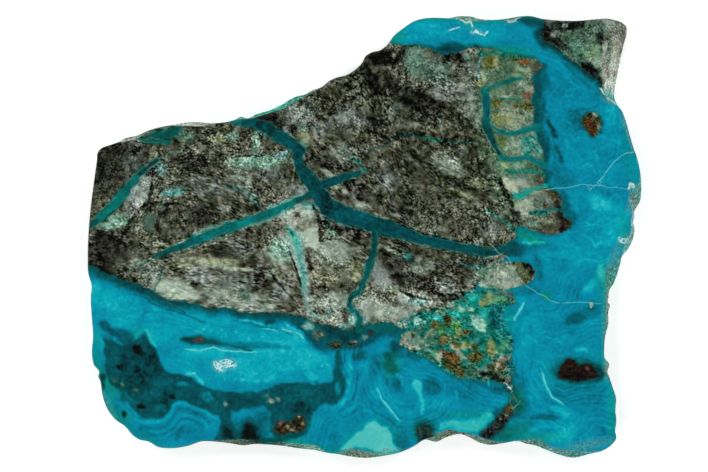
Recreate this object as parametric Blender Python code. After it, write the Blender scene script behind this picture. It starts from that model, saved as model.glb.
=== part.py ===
"""A polished slab of chrysocolla with the host rock that it grew in.

The slab was sawn from a lump of the stone. It lies on its sawn back with the
polished face up, and the rough skin of the lump is still on its edge. Metres,
+Z up. The origin is on the back face, under the middle of the outline.
"""
import math

import bmesh
import bpy
import numpy as np
from mathutils import Vector, noise

# Driving dimensions, in metres.
SLAB_LENGTH = 0.080
SLAB_THICKNESS = 0.005
COLUMN_SPACING = 0.0007

# The rough edge, in metres: how far it drops from the face to where the slab is
# widest, and how deep the lumps on it are.
DROP_AT_THIN_RIM = 0.0009
DROP_PER_RIM_WIDTH = 1.5
DROP_LIMIT = 0.0031
DROP_SWING = 0.4
DROP_PERIOD = 0.005
BACK_INSET = 0.0005
BACK_INSET_SWING = 0.0005
BACK_INSET_PERIOD = 0.012
LUMP_DEPTH = 0.0006
LUMP_SIZE = 0.0028
LUMP_COVER = 0.2
GRIT_DEPTH = 0.0002
GRIT_SIZE = 0.0009

# The outline, clockwise, seen from above. A row holds x and y in pixels of the
# photograph, y down, and the width in pixels of the rough rim that shows there
# outside the polished face. The rows are scaled to SLAB_LENGTH.
TOP_LEFT_EDGE = (
    (98.2, 152, 0.8), (101, 148.8, 0.8), (111, 144.7, 0.8), (119, 141.8, 1),
    (124, 139, 3), (138, 135.3, 3), (150, 130, 1.2), (163, 126.6, 1.2),
    (176, 124.4, 1.5), (188, 122.2, 4), (200, 122.3, 4.5), (210, 123.2, 1.5),
)
GREEN_STRIP = (
    (231, 121, 0.8), (236, 119.4, 1.2), (241, 116.6, 3), (247, 118.4, 1.2),
    (256, 114.4, 3), (271, 109.8, 3), (280, 105.6, 4), (296, 96.6, 4.5),
    (305, 94.5, 2.5), (313, 90.2, 2.6), (320, 88, 1), (331, 80, 1.5),
    (338, 77.2, 2.5), (345, 75.7, 1.5),
)
STEPPED_SHOULDER = (
    (353, 71.3, 0.8), (362.5, 62.2, 0.8), (365.3, 56.6, 0.8), (371, 52.8, 0.8),
    (380.5, 50.2, 0.8), (387, 45.2, 0.8), (394, 35.8, 0.8), (404, 27.8, 0.8),
    (413, 21.8, 0.8), (424, 18.6, 0.8), (440, 18, 0.8), (449, 18.3, 1),
)
TOP_CRUST = (
    (455, 16.8, 3), (467, 16.3, 4.5), (473, 16.8, 4.5), (478, 18.8, 2.8),
    (489, 20, 1), (500, 19.7, 1), (510, 18.2, 3), (520, 16.6, 1),
    (529, 16.2, 0.8), (543, 19.2, 0.8), (561, 20.9, 0.8), (580, 20.9, 0.8),
    (592, 19.8, 0.8),
)
RIGHT_EDGE = (
    (621, 110, 1), (625, 119, 2.6), (629, 133, 3.2), (633, 147, 2.4),
    (637, 159, 0.8), (640, 173, 0.8),
)
PITTED_BULGE = (
    (641.2, 185, 4), (641.6, 194, 11), (640, 202, 13), (635.4, 209.4, 5),
    (633.6, 213.2, 2.4), (634.4, 216.6, 3), (633, 220.6, 2.6),
    (634.5, 230, 4), (632.6, 240, 5.5), (627.6, 249.8, 5),
)
GREEN_CRUST = (
    (621.4, 256.8, 1.5), (620.4, 263.5, 6), (617.6, 274, 12.4),
    (614.2, 283, 8.5), (608.8, 291.4, 3.6), (608.4, 297.5, 3.5),
    (607.6, 301.6, 2), (610, 305.2, 4.5), (608.4, 310.5, 3.2),
    (608.2, 323, 2.8),
)
LOWER_RIGHT_EDGE = (
    (604.8, 337, 0.8), (604, 347, 0.8), (605.2, 359.5, 1.2), (609, 363.4, 4.4),
    (608.6, 368, 4), (607.2, 370.6, 2), (609.2, 377, 1.6), (612.2, 386.5, 1),
    (615.6, 397, 1), (615.2, 412, 1), (616.1, 420, 1), (615, 431, 1),
    (616, 438.4, 1), (612.4, 443.6, 1), (602, 450.6, 1.4),
)
BOTTOM_RIGHT_CRUST = (
    (590, 453.6, 3), (572.4, 457.8, 8), (560, 455, 6.5), (548, 450.6, 5),
    (536, 445.8, 7), (526, 443.6, 5), (518, 441, 1), (504, 442.8, 1.2),
    (489, 444.8, 5), (478, 442, 6), (468, 436.6, 4), (460, 434.1, 2.6),
    (448, 436.8, 7.8), (436, 441.8, 6.4), (425, 439.4, 1),
)
BOTTOM_LEFT_CRUST = (
    (414, 446, 1), (398, 452.8, 1), (384, 455.8, 3.5), (365, 458, 7),
    (347, 456, 7), (338, 454, 1.6), (326, 452.4, 1), (317, 450.6, 5),
    (298, 448.2, 5), (278, 445.2, 3.4), (266, 444.2, 1), (255, 443.8, 2.2),
    (244, 445.4, 6.6), (230, 443.3, 4), (213, 441.2, 1.2),
)
LOWER_LEFT_EDGE = (
    (203, 441, 1), (188, 445.7, 1), (169, 448, 1), (158, 446.6, 1),
    (150, 441.8, 1), (138, 438.6, 1), (132, 434, 1), (126, 426.8, 1),
    (115.8, 419.4, 1), (107, 407.4, 1), (102.6, 394, 1), (100.6, 381, 1),
    (98.6, 376, 1), (99.4, 372.2, 1), (94.4, 365, 1),
)
LEFT_EDGE = (
    (92.2, 350, 1), (93.3, 339, 1), (91.8, 315, 1), (91.1, 297, 1),
    (91.9, 286, 1), (88.5, 273, 1), (88, 258, 1), (89.2, 227, 0.8),
    (91.8, 200, 0.8), (95, 176.5, 0.8), (97.2, 160, 0.8),
)

# The broken corner at the top right slopes down from a crest that isn't
# parallel to the outline, so a row here holds a point of the outline and the
# point of the crest that lies opposite it.
BROKEN_CORNER = (
    (599, 19, 599, 20.4), (605, 18.4, 602.8, 22), (614, 19.4, 604.6, 27),
    (622, 22, 606.2, 33), (627, 27, 607.8, 39), (626.9, 33, 609.2, 45.5),
    (624.2, 44, 609.2, 55), (620.8, 59, 607.4, 66), (617.4, 76, 604.8, 78),
    (615, 90, 601.4, 88.5), (614.8, 97, 603.8, 94.8), (617, 104.5, 613, 102),
)

# Chips in the polished face: x and y of the middle, half length and half width,
# all in pixels, the turn in degrees and the depth in metres.
FACE_CHIPS = (
    (221, 366, 6.5, 4.5, 20, 0.00045), (230, 364, 6.5, 5, -25, 0.0005),
    (468, 22.5, 4, 3.5, 60, 0.0005), (476, 32.5, 7.5, 3.2, 8, 0.0004),
    (631.5, 186.5, 4.5, 3, 0, 0.0005), (622.5, 240.5, 4, 3.5, 30, 0.0005),
    (509, 387, 3.5, 3.5, 0, 0.0004), (511, 21, 6.5, 3, -20, 0.0006),
)
CHIP_RAGGEDNESS = 0.3

BEFORE_CORNER = TOP_LEFT_EDGE + GREEN_STRIP + STEPPED_SHOULDER + TOP_CRUST
AFTER_CORNER = (
    RIGHT_EDGE + PITTED_BULGE + GREEN_CRUST + LOWER_RIGHT_EDGE
    + BOTTOM_RIGHT_CRUST + BOTTOM_LEFT_CRUST + LOWER_LEFT_EDGE + LEFT_EDGE
)


def outward(points):
    """Unit normals of a closed clockwise line, from the chord past each point."""
    chord = np.roll(points, -2, axis=0) - np.roll(points, 2, axis=0)
    normal = np.stack([-chord[:, 1], chord[:, 0]], axis=1)
    return normal / np.linalg.norm(normal, axis=1, keepdims=True)


def photo_to_slab(points, frame):
    """Pixels to metres: moved by the frame's middle, scaled, and y turned up."""
    middle, scale = frame
    return (np.asarray(points, dtype=float) - middle) * scale * (1.0, -1.0)


def edge_lines():
    """The outline and the polished face's edge, one point of each per row."""
    rows = [row[:2] for row in BEFORE_CORNER + BROKEN_CORNER + AFTER_CORNER]
    outline_px = np.array(rows, dtype=float)
    low = outline_px.min(axis=0)
    high = outline_px.max(axis=0)
    frame = ((low + high) / 2, SLAB_LENGTH / (high[0] - low[0]))
    outline = photo_to_slab(outline_px, frame)

    first = len(BEFORE_CORNER)
    after = first + len(BROKEN_CORNER)
    rims = np.zeros((len(outline), 1))
    rims[:first, 0] = [row[2] for row in BEFORE_CORNER]
    rims[after:, 0] = [row[2] for row in AFTER_CORNER]
    face = outline - outward(outline) * rims * frame[1]
    face[first:after] = photo_to_slab([row[2:] for row in BROKEN_CORNER], frame)
    return outline, face, frame


def smooth_closed(values, knots, at):
    """A closed curve through the values: cubic pieces whose slope at a point is
    the mean of the slopes on both sides, each weighted by the other's length."""
    step = np.diff(knots)
    slope = (np.roll(values, -1, axis=0) - values) / step[:, None]
    before = np.roll(step, 1)[:, None]
    tangent = (slope * before + np.roll(slope, 1, axis=0) * step[:, None]) / (before + step[:, None])
    piece = np.clip(np.searchsorted(knots, at, side="right") - 1, 0, len(values) - 1)
    after = (piece + 1) % len(values)
    width = step[piece][:, None]
    u = (at - knots[piece])[:, None] / width
    rise = u * u * (3 - 2 * u)
    return (
        values[piece] * (1 - rise) + values[after] * rise
        + width * (u * (1 - u) ** 2 * tangent[piece] - u * u * (1 - u) * tangent[after])
    )


def fractal(points, size):
    """Noise between about -1 and 1 whose lumps are of the given size."""
    return np.array([noise.noise(Vector(point) / size) for point in points]) * 1.4


def edge_rings():
    """Rings of points from the polished face's edge down to the back's edge."""
    outline_rows, face_rows, frame = edge_lines()
    gaps = np.linalg.norm(np.roll(outline_rows, -1, axis=0) - outline_rows, axis=1)
    knots = np.concatenate([[0.0], np.cumsum(gaps)])
    columns = round(knots[-1] / COLUMN_SPACING)
    at = np.arange(columns) * knots[-1] / columns
    outline = smooth_closed(outline_rows, knots, at)
    face = smooth_closed(face_rows, knots, at)
    normal = outward(outline)

    rim = np.linalg.norm(outline - face, axis=1)
    flat = np.column_stack([outline, np.zeros(columns)])
    drop = np.minimum(DROP_AT_THIN_RIM + DROP_PER_RIM_WIDTH * rim, DROP_LIMIT)
    drop = drop * (1 + DROP_SWING * fractal(flat, DROP_PERIOD))
    swing = fractal(flat, BACK_INSET_PERIOD)
    back = outline - normal * (BACK_INSET + BACK_INSET_SWING * (0.5 + 0.5 * swing))[:, None]

    # Each ring: how far it lies from the face's edge to the widest line, or
    # from there to the back's edge, its height, and its share of the lumps.
    widest = SLAB_THICKNESS - drop
    levels = (
        (face, outline, 0.0, np.full(columns, SLAB_THICKNESS), 0.0),
        (face, outline, 0.35, SLAB_THICKNESS - 0.3 * drop, 0.4),
        (face, outline, 0.75, SLAB_THICKNESS - 0.65 * drop, 1.0),
        (face, outline, 1.0, widest, 0.0),
        (outline, back, 0.3, 0.7 * widest, 1.0),
        (outline, back, 0.7, 0.35 * widest, 1.0),
        (outline, back, 1.0, np.zeros(columns), 0.0),
    )
    rings = []
    for start, end, share, height, lumps in levels:
        flat_ring = start + (end - start) * share
        ring = np.column_stack([flat_ring, height])
        depth = LUMP_DEPTH * np.maximum(LUMP_COVER + fractal(ring, LUMP_SIZE), 0.0)
        depth = depth + GRIT_DEPTH * np.maximum(fractal(ring, GRIT_SIZE), 0.0)
        ring[:, :2] -= normal * (lumps * depth)[:, None]
        rings.append(ring)
    return rings, frame


def slab_mesh(rings):
    """One closed skin: quads between the rings, and a flat face at each end."""
    mesh = bmesh.new()
    lines = [[mesh.verts.new(point) for point in ring] for ring in rings]
    for upper, lower in zip(lines, lines[1:]):
        for here in range(len(upper)):
            ahead = (here + 1) % len(upper)
            mesh.faces.new((upper[here], upper[ahead], lower[ahead], lower[here]))
    mesh.faces.new(reversed(lines[0]))
    mesh.faces.new(lines[-1])
    bmesh.ops.recalc_face_normals(mesh, faces=mesh.faces)
    data = bpy.data.meshes.new("slab")
    mesh.to_mesh(data)
    mesh.free()
    return data


def chip_cutter(name, chip, frame):
    """A ragged lens that is sunk into the polished face from above."""
    x, y, half_length, half_width, turn, depth = chip
    middle = photo_to_slab((x, y), frame)
    size = np.array((half_length, half_width)) * frame[1]
    mesh = bmesh.new()
    bmesh.ops.create_icosphere(mesh, subdivisions=2, radius=1.0)
    for vert in mesh.verts:
        vert.co *= 1 + CHIP_RAGGEDNESS * noise.noise(vert.co * 2.3 + Vector((x, y, 0)))
        vert.co.x *= size[0]
        vert.co.y *= size[1]
        vert.co.z *= depth
    data = bpy.data.meshes.new(name)
    mesh.to_mesh(data)
    mesh.free()
    cutter = bpy.data.objects.new(name, data)
    cutter.location = (middle[0], middle[1], SLAB_THICKNESS)
    cutter.rotation_euler = (0.0, 0.0, math.radians(turn))
    cutter.hide_render = True
    cutter.display_type = "WIRE"
    bpy.context.scene.collection.objects.link(cutter)
    return cutter


def stone_material():
    """Polished blue-green stone: the mean colour of the face."""
    material = bpy.data.materials.new("polished_stone")
    material.use_nodes = True
    shader = material.node_tree.nodes["Principled BSDF"]
    shader.inputs["Base Color"].default_value = (0.03, 0.2, 0.23, 1.0)
    shader.inputs["Roughness"].default_value = 0.18
    shader.inputs["Metallic"].default_value = 0.0
    return material


for old in list(bpy.data.objects):
    bpy.data.objects.remove(old, do_unlink=True)

edge, photo_frame = edge_rings()
slab = bpy.data.objects.new("slab", slab_mesh(edge))
slab.data.materials.append(stone_material())
bpy.context.scene.collection.objects.link(slab)
for number, face_chip in enumerate(FACE_CHIPS, start=1):
    cut = slab.modifiers.new(f"chip_{number}", "BOOLEAN")
    cut.operation = "DIFFERENCE"
    cut.solver = "EXACT"
    cut.object = chip_cutter(f"chip_cutter_{number}", face_chip, photo_frame)
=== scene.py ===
"""The looks of a polished slab of chrysocolla in its host rock."""
import math

import bpy
import numpy as np
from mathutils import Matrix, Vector


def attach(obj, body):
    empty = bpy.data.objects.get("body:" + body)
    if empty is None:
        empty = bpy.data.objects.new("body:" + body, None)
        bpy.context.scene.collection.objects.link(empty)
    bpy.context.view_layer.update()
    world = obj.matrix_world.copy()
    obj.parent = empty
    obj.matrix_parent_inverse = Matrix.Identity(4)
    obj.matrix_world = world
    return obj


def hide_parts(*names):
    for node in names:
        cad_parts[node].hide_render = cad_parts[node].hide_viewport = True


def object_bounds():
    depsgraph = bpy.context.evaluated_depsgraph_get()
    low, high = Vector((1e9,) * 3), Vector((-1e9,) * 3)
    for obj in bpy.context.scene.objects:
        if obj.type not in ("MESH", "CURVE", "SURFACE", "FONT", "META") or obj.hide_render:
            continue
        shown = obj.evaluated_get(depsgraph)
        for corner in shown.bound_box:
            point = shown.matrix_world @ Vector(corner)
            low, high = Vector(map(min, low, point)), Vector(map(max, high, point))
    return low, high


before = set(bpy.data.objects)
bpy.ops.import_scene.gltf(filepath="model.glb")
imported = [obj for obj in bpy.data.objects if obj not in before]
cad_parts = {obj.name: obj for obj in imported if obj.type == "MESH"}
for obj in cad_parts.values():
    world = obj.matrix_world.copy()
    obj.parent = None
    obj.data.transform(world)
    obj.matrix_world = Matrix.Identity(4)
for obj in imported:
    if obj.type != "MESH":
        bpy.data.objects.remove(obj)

cad_low, cad_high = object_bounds()

# Camera
# The photograph looks straight down on the slab. Places on the slab are given
# in pixels of the photograph, y down, as (x, y); this section ties those to
# metres and puts the camera where the two frames agree at the widest line of
# the rim, a little below the face.
PHOTO_SIZE = np.array((708, 472))
SLAB_MIDDLE = np.array((364.8, 237.1))
SLAB_WIDTH_PX = 553.6
PIXEL = (cad_high.x - cad_low.x) / SLAB_WIDTH_PX
FACE_HEIGHT = cad_high.z
WIDEST_BELOW_FACE = 0.002
LENS = 250.0
SENSOR = 36.0


def place(points):
    """Metres from the slab's middle, y up, for points in pixels of the photograph, y down."""
    return (np.asarray(points, dtype=float) - SLAB_MIDDLE) * PIXEL * (1.0, -1.0)


camera = bpy.data.objects.new("camera", bpy.data.cameras.new("camera"))
camera.data.lens = LENS
camera.data.sensor_width = SENSOR
camera.data.clip_start = 0.01
camera.data.clip_end = 20.0
picture_middle = place(PHOTO_SIZE / 2)
distance = PHOTO_SIZE[0] * PIXEL * LENS / SENSOR
camera.location = (picture_middle[0], picture_middle[1], FACE_HEIGHT - WIDEST_BELOW_FACE + distance)
bpy.context.scene.collection.objects.link(camera)
bpy.context.scene.camera = camera

# Studio
# A white cove: a round floor that curves up into a low wall, so every side has
# the same pale background. Four soft lights stand around it at half height and
# the sky above the slab stays dim, so that the polish shows no veil from above.
COVE_RADIUS = 2.4
COVE_FLAT = 0.6
COVE_WALL = 1.0
FLOOR_DROP = 0.0002
FLOOR_WHITE = (0.86, 0.86, 0.86, 1.0)
LIGHT_DISTANCE = 1.1
LIGHT_ELEVATION = 46.0
LIGHT_SIZE = 0.7
LIGHT_POWER = ((135, 5.6), (45, 4.7), (225, 4.6), (315, 4.0))
SKY = (0.035, 0.035, 0.035, 1.0)
FLOOR_GLOW = 0.45


def cove_surface(rings, turns):
    """A turned sheet: flat to COVE_FLAT of its radius, then rising as the square of what is left."""
    radius, turn = np.meshgrid(np.linspace(0, 1, rings), np.arange(turns) * 2 * np.pi / turns)
    rise = np.clip((radius - COVE_FLAT) / (1 - COVE_FLAT), 0, 1) ** 2 * COVE_WALL
    sheet = np.stack([radius * np.cos(turn) * COVE_RADIUS, radius * np.sin(turn) * COVE_RADIUS,
                      rise - FLOOR_DROP], axis=-1)
    here = (np.arange(turns)[:, None] * rings + np.arange(rings - 1)).ravel()
    ahead = (here + rings) % (turns * rings)
    quads = np.stack([here, here + 1, ahead + 1, ahead], axis=1)
    mesh = bpy.data.meshes.new("cove")
    mesh.from_pydata(sheet.reshape(-1, 3).tolist(), [], quads.tolist())
    mesh.shade_smooth()
    return mesh


floor = bpy.data.objects.new("floor", cove_surface(40, 96))
floor_paint = bpy.data.materials.new("floor_paint")
floor_paint.use_nodes = True
floor_shader = floor_paint.node_tree.nodes["Principled BSDF"]
floor_shader.inputs["Base Color"].default_value = FLOOR_WHITE
floor_shader.inputs["Roughness"].default_value = 1.0
floor_shader.inputs["Specular IOR Level"].default_value = 0.0
floor_shader.inputs["Emission Color"].default_value = FLOOR_WHITE
floor_shader.inputs["Emission Strength"].default_value = FLOOR_GLOW
floor.data.materials.append(floor_paint)
bpy.context.scene.collection.objects.link(floor)

for bearing, power in LIGHT_POWER:
    lamp = bpy.data.objects.new(f"light_{bearing}", bpy.data.lights.new(f"light_{bearing}", "AREA"))
    lamp.data.shape = "DISK"
    lamp.data.size = LIGHT_SIZE
    lamp.data.energy = power
    turn = math.radians(bearing)
    tilt = math.radians(LIGHT_ELEVATION)
    towards = Vector((math.cos(turn) * math.cos(tilt), math.sin(turn) * math.cos(tilt), math.sin(tilt)))
    lamp.location = towards * LIGHT_DISTANCE
    lamp.rotation_euler = towards.to_track_quat("Z", "Y").to_euler()
    lamp.visible_camera = False
    bpy.context.scene.collection.objects.link(lamp)

world = bpy.data.worlds.new("studio")
world.use_nodes = True
world.node_tree.nodes["Background"].inputs["Color"].default_value = SKY
bpy.context.scene.world = world
bpy.context.scene.view_settings.view_transform = "Standard"

# Slab body
# One piece of stone, sawn from a lump: a polished face, a sawn back and between
# them the lump's rough skin. A row of the outline holds x, y and the width of
# the rough rim that shows outside the polished face, all in pixels, clockwise.
TOP_LEFT_EDGE = (
    (98.2, 152, 0.8), (101, 148.8, 0.8), (111, 144.7, 0.8), (119, 141.8, 1),
    (124, 139, 3), (138, 135.3, 3), (150, 130, 1.2), (163, 126.6, 1.2),
    (176, 124.4, 1.5), (188, 122.2, 4), (200, 122.3, 4.5), (210, 123.2, 1.5),
)
GREEN_STRIP = (
    (231, 121, 0.8), (236, 119.4, 1.2), (241, 116.6, 3), (247, 118.4, 1.2),
    (256, 114.4, 3), (271, 109.8, 3), (280, 105.6, 4), (296, 96.6, 4.5),
    (305, 94.5, 2.5), (313, 90.2, 2.6), (320, 88, 1), (331, 80, 1.5),
    (338, 77.2, 2.5), (345, 75.7, 1.5),
)
STEPPED_SHOULDER = (
    (353, 71.3, 0.8), (362.5, 62.2, 0.8), (365.3, 56.6, 0.8), (371, 52.8, 0.8),
    (380.5, 50.2, 0.8), (387, 45.2, 0.8), (394, 35.8, 0.8), (404, 27.8, 0.8),
    (413, 21.8, 0.8), (424, 18.6, 0.8), (440, 18, 0.8), (449, 18.3, 1),
)
TOP_CRUST = (
    (455, 16.8, 3), (467, 16.3, 4.5), (473, 16.8, 4.5), (478, 18.8, 2.8),
    (489, 20, 1), (500, 19.7, 1), (510, 18.2, 3), (520, 16.6, 1),
    (529, 16.2, 0.8), (543, 19.2, 0.8), (561, 20.9, 0.8), (580, 20.9, 0.8),
    (592, 19.8, 0.8),
)
RIGHT_EDGE = (
    (621, 110, 1), (625, 119, 2.6), (629, 133, 3.2), (633, 147, 2.4),
    (637, 159, 0.8), (640, 173, 0.8),
)
PITTED_BULGE = (
    (641.2, 185, 4), (641.6, 194, 11), (640, 202, 13), (635.4, 209.4, 5),
    (633.6, 213.2, 2.4), (634.4, 216.6, 3), (633, 220.6, 2.6),
    (634.5, 230, 4), (632.6, 240, 5.5), (627.6, 249.8, 5),
)
GREEN_CRUST = (
    (621.4, 256.8, 1.5), (620.4, 263.5, 6), (617.6, 274, 12.4),
    (614.2, 283, 8.5), (608.8, 291.4, 3.6), (608.4, 297.5, 3.5),
    (607.6, 301.6, 2), (610, 305.2, 4.5), (608.4, 310.5, 3.2),
    (608.2, 323, 2.8),
)
LOWER_RIGHT_EDGE = (
    (604.8, 337, 0.8), (604, 347, 0.8), (605.2, 359.5, 1.2), (609, 363.4, 4.4),
    (608.6, 368, 4), (607.2, 370.6, 2), (609.2, 377, 1.6), (612.2, 386.5, 1),
    (615.6, 397, 1), (615.2, 412, 1), (616.1, 420, 1), (615, 431, 1),
    (616, 438.4, 1), (612.4, 443.6, 1), (602, 450.6, 1.4),
)
BOTTOM_RIGHT_CRUST = (
    (590, 453.6, 3), (572.4, 457.8, 8), (560, 455, 6.5), (548, 450.6, 5),
    (536, 445.8, 7), (526, 443.6, 5), (518, 441, 1), (504, 442.8, 1.2),
    (489, 444.8, 5), (478, 442, 6), (468, 436.6, 4), (460, 434.1, 2.6),
    (448, 436.8, 7.8), (436, 441.8, 6.4), (425, 439.4, 1),
)
BOTTOM_LEFT_CRUST = (
    (414, 446, 1), (398, 452.8, 1), (384, 455.8, 3.5), (365, 458, 7),
    (347, 456, 7), (338, 454, 1.6), (326, 452.4, 1), (317, 450.6, 5),
    (298, 448.2, 5), (278, 445.2, 3.4), (266, 444.2, 1), (255, 443.8, 2.2),
    (244, 445.4, 6.6), (230, 443.3, 4), (213, 441.2, 1.2),
)
LOWER_LEFT_EDGE = (
    (203, 441, 1), (188, 445.7, 1), (169, 448, 1), (158, 446.6, 1),
    (150, 441.8, 1), (138, 438.6, 1), (132, 434, 1), (126, 426.8, 1),
    (115.8, 419.4, 1), (107, 407.4, 1), (102.6, 394, 1), (100.6, 381, 1),
    (98.6, 376, 1), (99.4, 372.2, 1), (94.4, 365, 1),
)
LEFT_EDGE = (
    (92.2, 350, 1), (93.3, 339, 1), (91.8, 315, 1), (91.1, 297, 1),
    (91.9, 286, 1), (88.5, 273, 1), (88, 258, 1), (89.2, 227, 0.8),
    (91.8, 200, 0.8), (95, 176.5, 0.8), (97.2, 160, 0.8),
)
# The broken corner slopes down from a crest: a point of the outline, then the
# point of the crest that lies opposite it.
BROKEN_CORNER = (
    (599, 19, 599, 20.4), (605, 18.4, 602.8, 22), (614, 19.4, 604.6, 27),
    (622, 22, 606.2, 33), (627, 27, 607.8, 39), (626.9, 33, 609.2, 45.5),
    (624.2, 44, 609.2, 55), (620.8, 59, 607.4, 66), (617.4, 76, 604.8, 78),
    (615, 90, 601.4, 88.5), (614.8, 97, 603.8, 94.8), (617, 104.5, 613, 102),
)
BEFORE_CORNER = TOP_LEFT_EDGE + GREEN_STRIP + STEPPED_SHOULDER + TOP_CRUST
AFTER_CORNER = (
    RIGHT_EDGE + PITTED_BULGE + GREEN_CRUST + LOWER_RIGHT_EDGE
    + BOTTOM_RIGHT_CRUST + BOTTOM_LEFT_CRUST + LOWER_LEFT_EDGE + LEFT_EDGE
)
# The face is a grid between four corners of the outline.
GRID_CORNERS = ((98.2, 152), (605, 18.4), (612.4, 443.6), (115.8, 419.4))
ACROSS = 296
DOWN = 232
RELAX_ROUNDS = 160
RIM_RINGS = 12
WIDEST_AT = 5 / 12
DROP_AT_THIN_RIM = 0.0009
DROP_PER_RIM_WIDTH = 1.5
DROP_LIMIT = 0.0031
BACK_INSET = 0.00075
LUMP_DEPTH = 0.0006
LUMP_SIZE = 0.0028
LUMP_COVER = 0.2
GRIT_DEPTH = 0.00022
GRIT_SIZE = 0.0008


def outward(points):
    """Unit normals of a closed clockwise line, from the chord past each point."""
    chord = np.roll(points, -2, axis=0) - np.roll(points, 2, axis=0)
    normal = np.stack([-chord[:, 1], chord[:, 0]], axis=1)
    return normal / np.linalg.norm(normal, axis=1, keepdims=True)


def smooth_closed(values, knots, at):
    """A closed curve through the values: cubic pieces whose slope at a point is
    the mean of the slopes on both sides, each weighted by the other's length."""
    step = np.diff(knots)
    slope = (np.roll(values, -1, axis=0) - values) / step[:, None]
    before = np.roll(step, 1)[:, None]
    tangent = (slope * before + np.roll(slope, 1, axis=0) * step[:, None]) / (before + step[:, None])
    piece = np.clip(np.searchsorted(knots, at, side="right") - 1, 0, len(values) - 1)
    after = (piece + 1) % len(values)
    width = step[piece][:, None]
    u = (at - knots[piece])[:, None] / width
    rise = u * u * (3 - 2 * u)
    return (values[piece] * (1 - rise) + values[after] * rise
            + width * (u * (1 - u) ** 2 * tangent[piece] - u * u * (1 - u) * tangent[after]))


def lumps(points, size, seed, octaves=1):
    """Gradient noise of about -1 to 1: at each corner of a cell the dot product of a fixed
    random arrow and the way to the point, blended by 3t^2 - 2t^3. Each octave halves both."""
    random = np.random.default_rng(seed)
    order = random.permutation(256)
    arrows = random.normal(size=(256, 3))
    arrows /= np.linalg.norm(arrows, axis=1, keepdims=True)
    total = np.zeros(len(points))
    for octave in range(octaves):
        scaled = points * (2 ** octave / size) + 17.3 * octave
        cell = np.floor(scaled).astype(int)
        inside = scaled - cell
        ease = inside * inside * (3 - 2 * inside)
        for corner in np.ndindex(2, 2, 2):
            key = (cell + corner) & 255
            arrow = arrows[order[(order[(order[key[:, 0]] + key[:, 1]) & 255] + key[:, 2]) & 255]]
            weight = np.prod(np.where(corner, ease, 1 - ease), axis=1)
            total += weight * np.sum(arrow * (inside - corner), axis=1) * 0.5 ** octave
    return total * 1.6


def patch_between(ring, across, down):
    """A grid inside a closed ring of four sides: the blend of left and right plus the blend
    of top and bottom, less the blend of the four corners. Each inner point is then moved to
    the mean of its four neighbours a few times, which opens the cells beside a notch."""
    top = ring[:across + 1]
    right = ring[across:across + down + 1]
    bottom = ring[across + down:2 * across + down + 1][::-1]
    left = np.concatenate([ring[2 * across + down:], ring[:1]])[::-1]
    u = np.linspace(0, 1, across + 1)[None, :, None]
    v = np.linspace(0, 1, down + 1)[:, None, None]
    corners = ((1 - u) * (1 - v) * top[0] + u * (1 - v) * top[-1]
               + (1 - u) * v * bottom[0] + u * v * bottom[-1])
    grid = (1 - v) * top[None] + v * bottom[None] + (1 - u) * left[:, None] + u * right[:, None] - corners
    for _ in range(RELAX_ROUNDS):
        grid[1:-1, 1:-1] = (grid[:-2, 1:-1] + grid[2:, 1:-1] + grid[1:-1, :-2] + grid[1:-1, 2:]) / 4
    return grid


def ring_of_grid(across, down):
    """The numbers of a grid's outer points, clockwise from its first corner."""
    number = np.arange((across + 1) * (down + 1)).reshape(down + 1, across + 1)
    return np.concatenate([number[0, :-1], number[:-1, -1], number[-1, :0:-1], number[:0:-1, 0]])


outline_px = np.array([row[:2] for row in BEFORE_CORNER + BROKEN_CORNER + AFTER_CORNER], dtype=float)
corner_start = len(BEFORE_CORNER)
corner_end = corner_start + len(BROKEN_CORNER)
rim_px = np.zeros((len(outline_px), 1))
rim_px[:corner_start, 0] = [row[2] for row in BEFORE_CORNER]
rim_px[corner_end:, 0] = [row[2] for row in AFTER_CORNER]
outline_rows = place(outline_px)
face_rows = outline_rows - outward(outline_rows) * rim_px * PIXEL
face_rows[corner_start:corner_end] = place([row[2:] for row in BROKEN_CORNER])

gaps = np.linalg.norm(np.roll(outline_rows, -1, axis=0) - outline_rows, axis=1)
knots = np.concatenate([[0.0], np.cumsum(gaps)])
fine = np.linspace(0, knots[-1], 12001)
fine_edge = smooth_closed(face_rows, knots, fine)
walked = np.concatenate([[0.0], np.cumsum(np.linalg.norm(np.diff(fine_edge, axis=0), axis=1))])
corner_knots = [knots[np.argmin(np.abs(outline_px - corner).sum(axis=1))] for corner in GRID_CORNERS]
corner_knots.append(knots[-1])
stations = []
for start, end, count in zip(corner_knots, corner_knots[1:], (ACROSS, DOWN, ACROSS, DOWN)):
    reach = np.interp((start, end), fine, walked)
    stations.append(np.interp(np.linspace(*reach, count, endpoint=False), walked, fine))
stations = np.concatenate(stations)

outline = smooth_closed(outline_rows, knots, stations)
face_edge = smooth_closed(face_rows, knots, stations)
edge_normal = outward(smooth_closed(outline_rows, knots, stations))
rim_width = np.linalg.norm(outline - face_edge, axis=1)
drop = np.minimum(DROP_AT_THIN_RIM + DROP_PER_RIM_WIDTH * rim_width, DROP_LIMIT)
back_edge = outline - edge_normal * BACK_INSET

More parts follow.
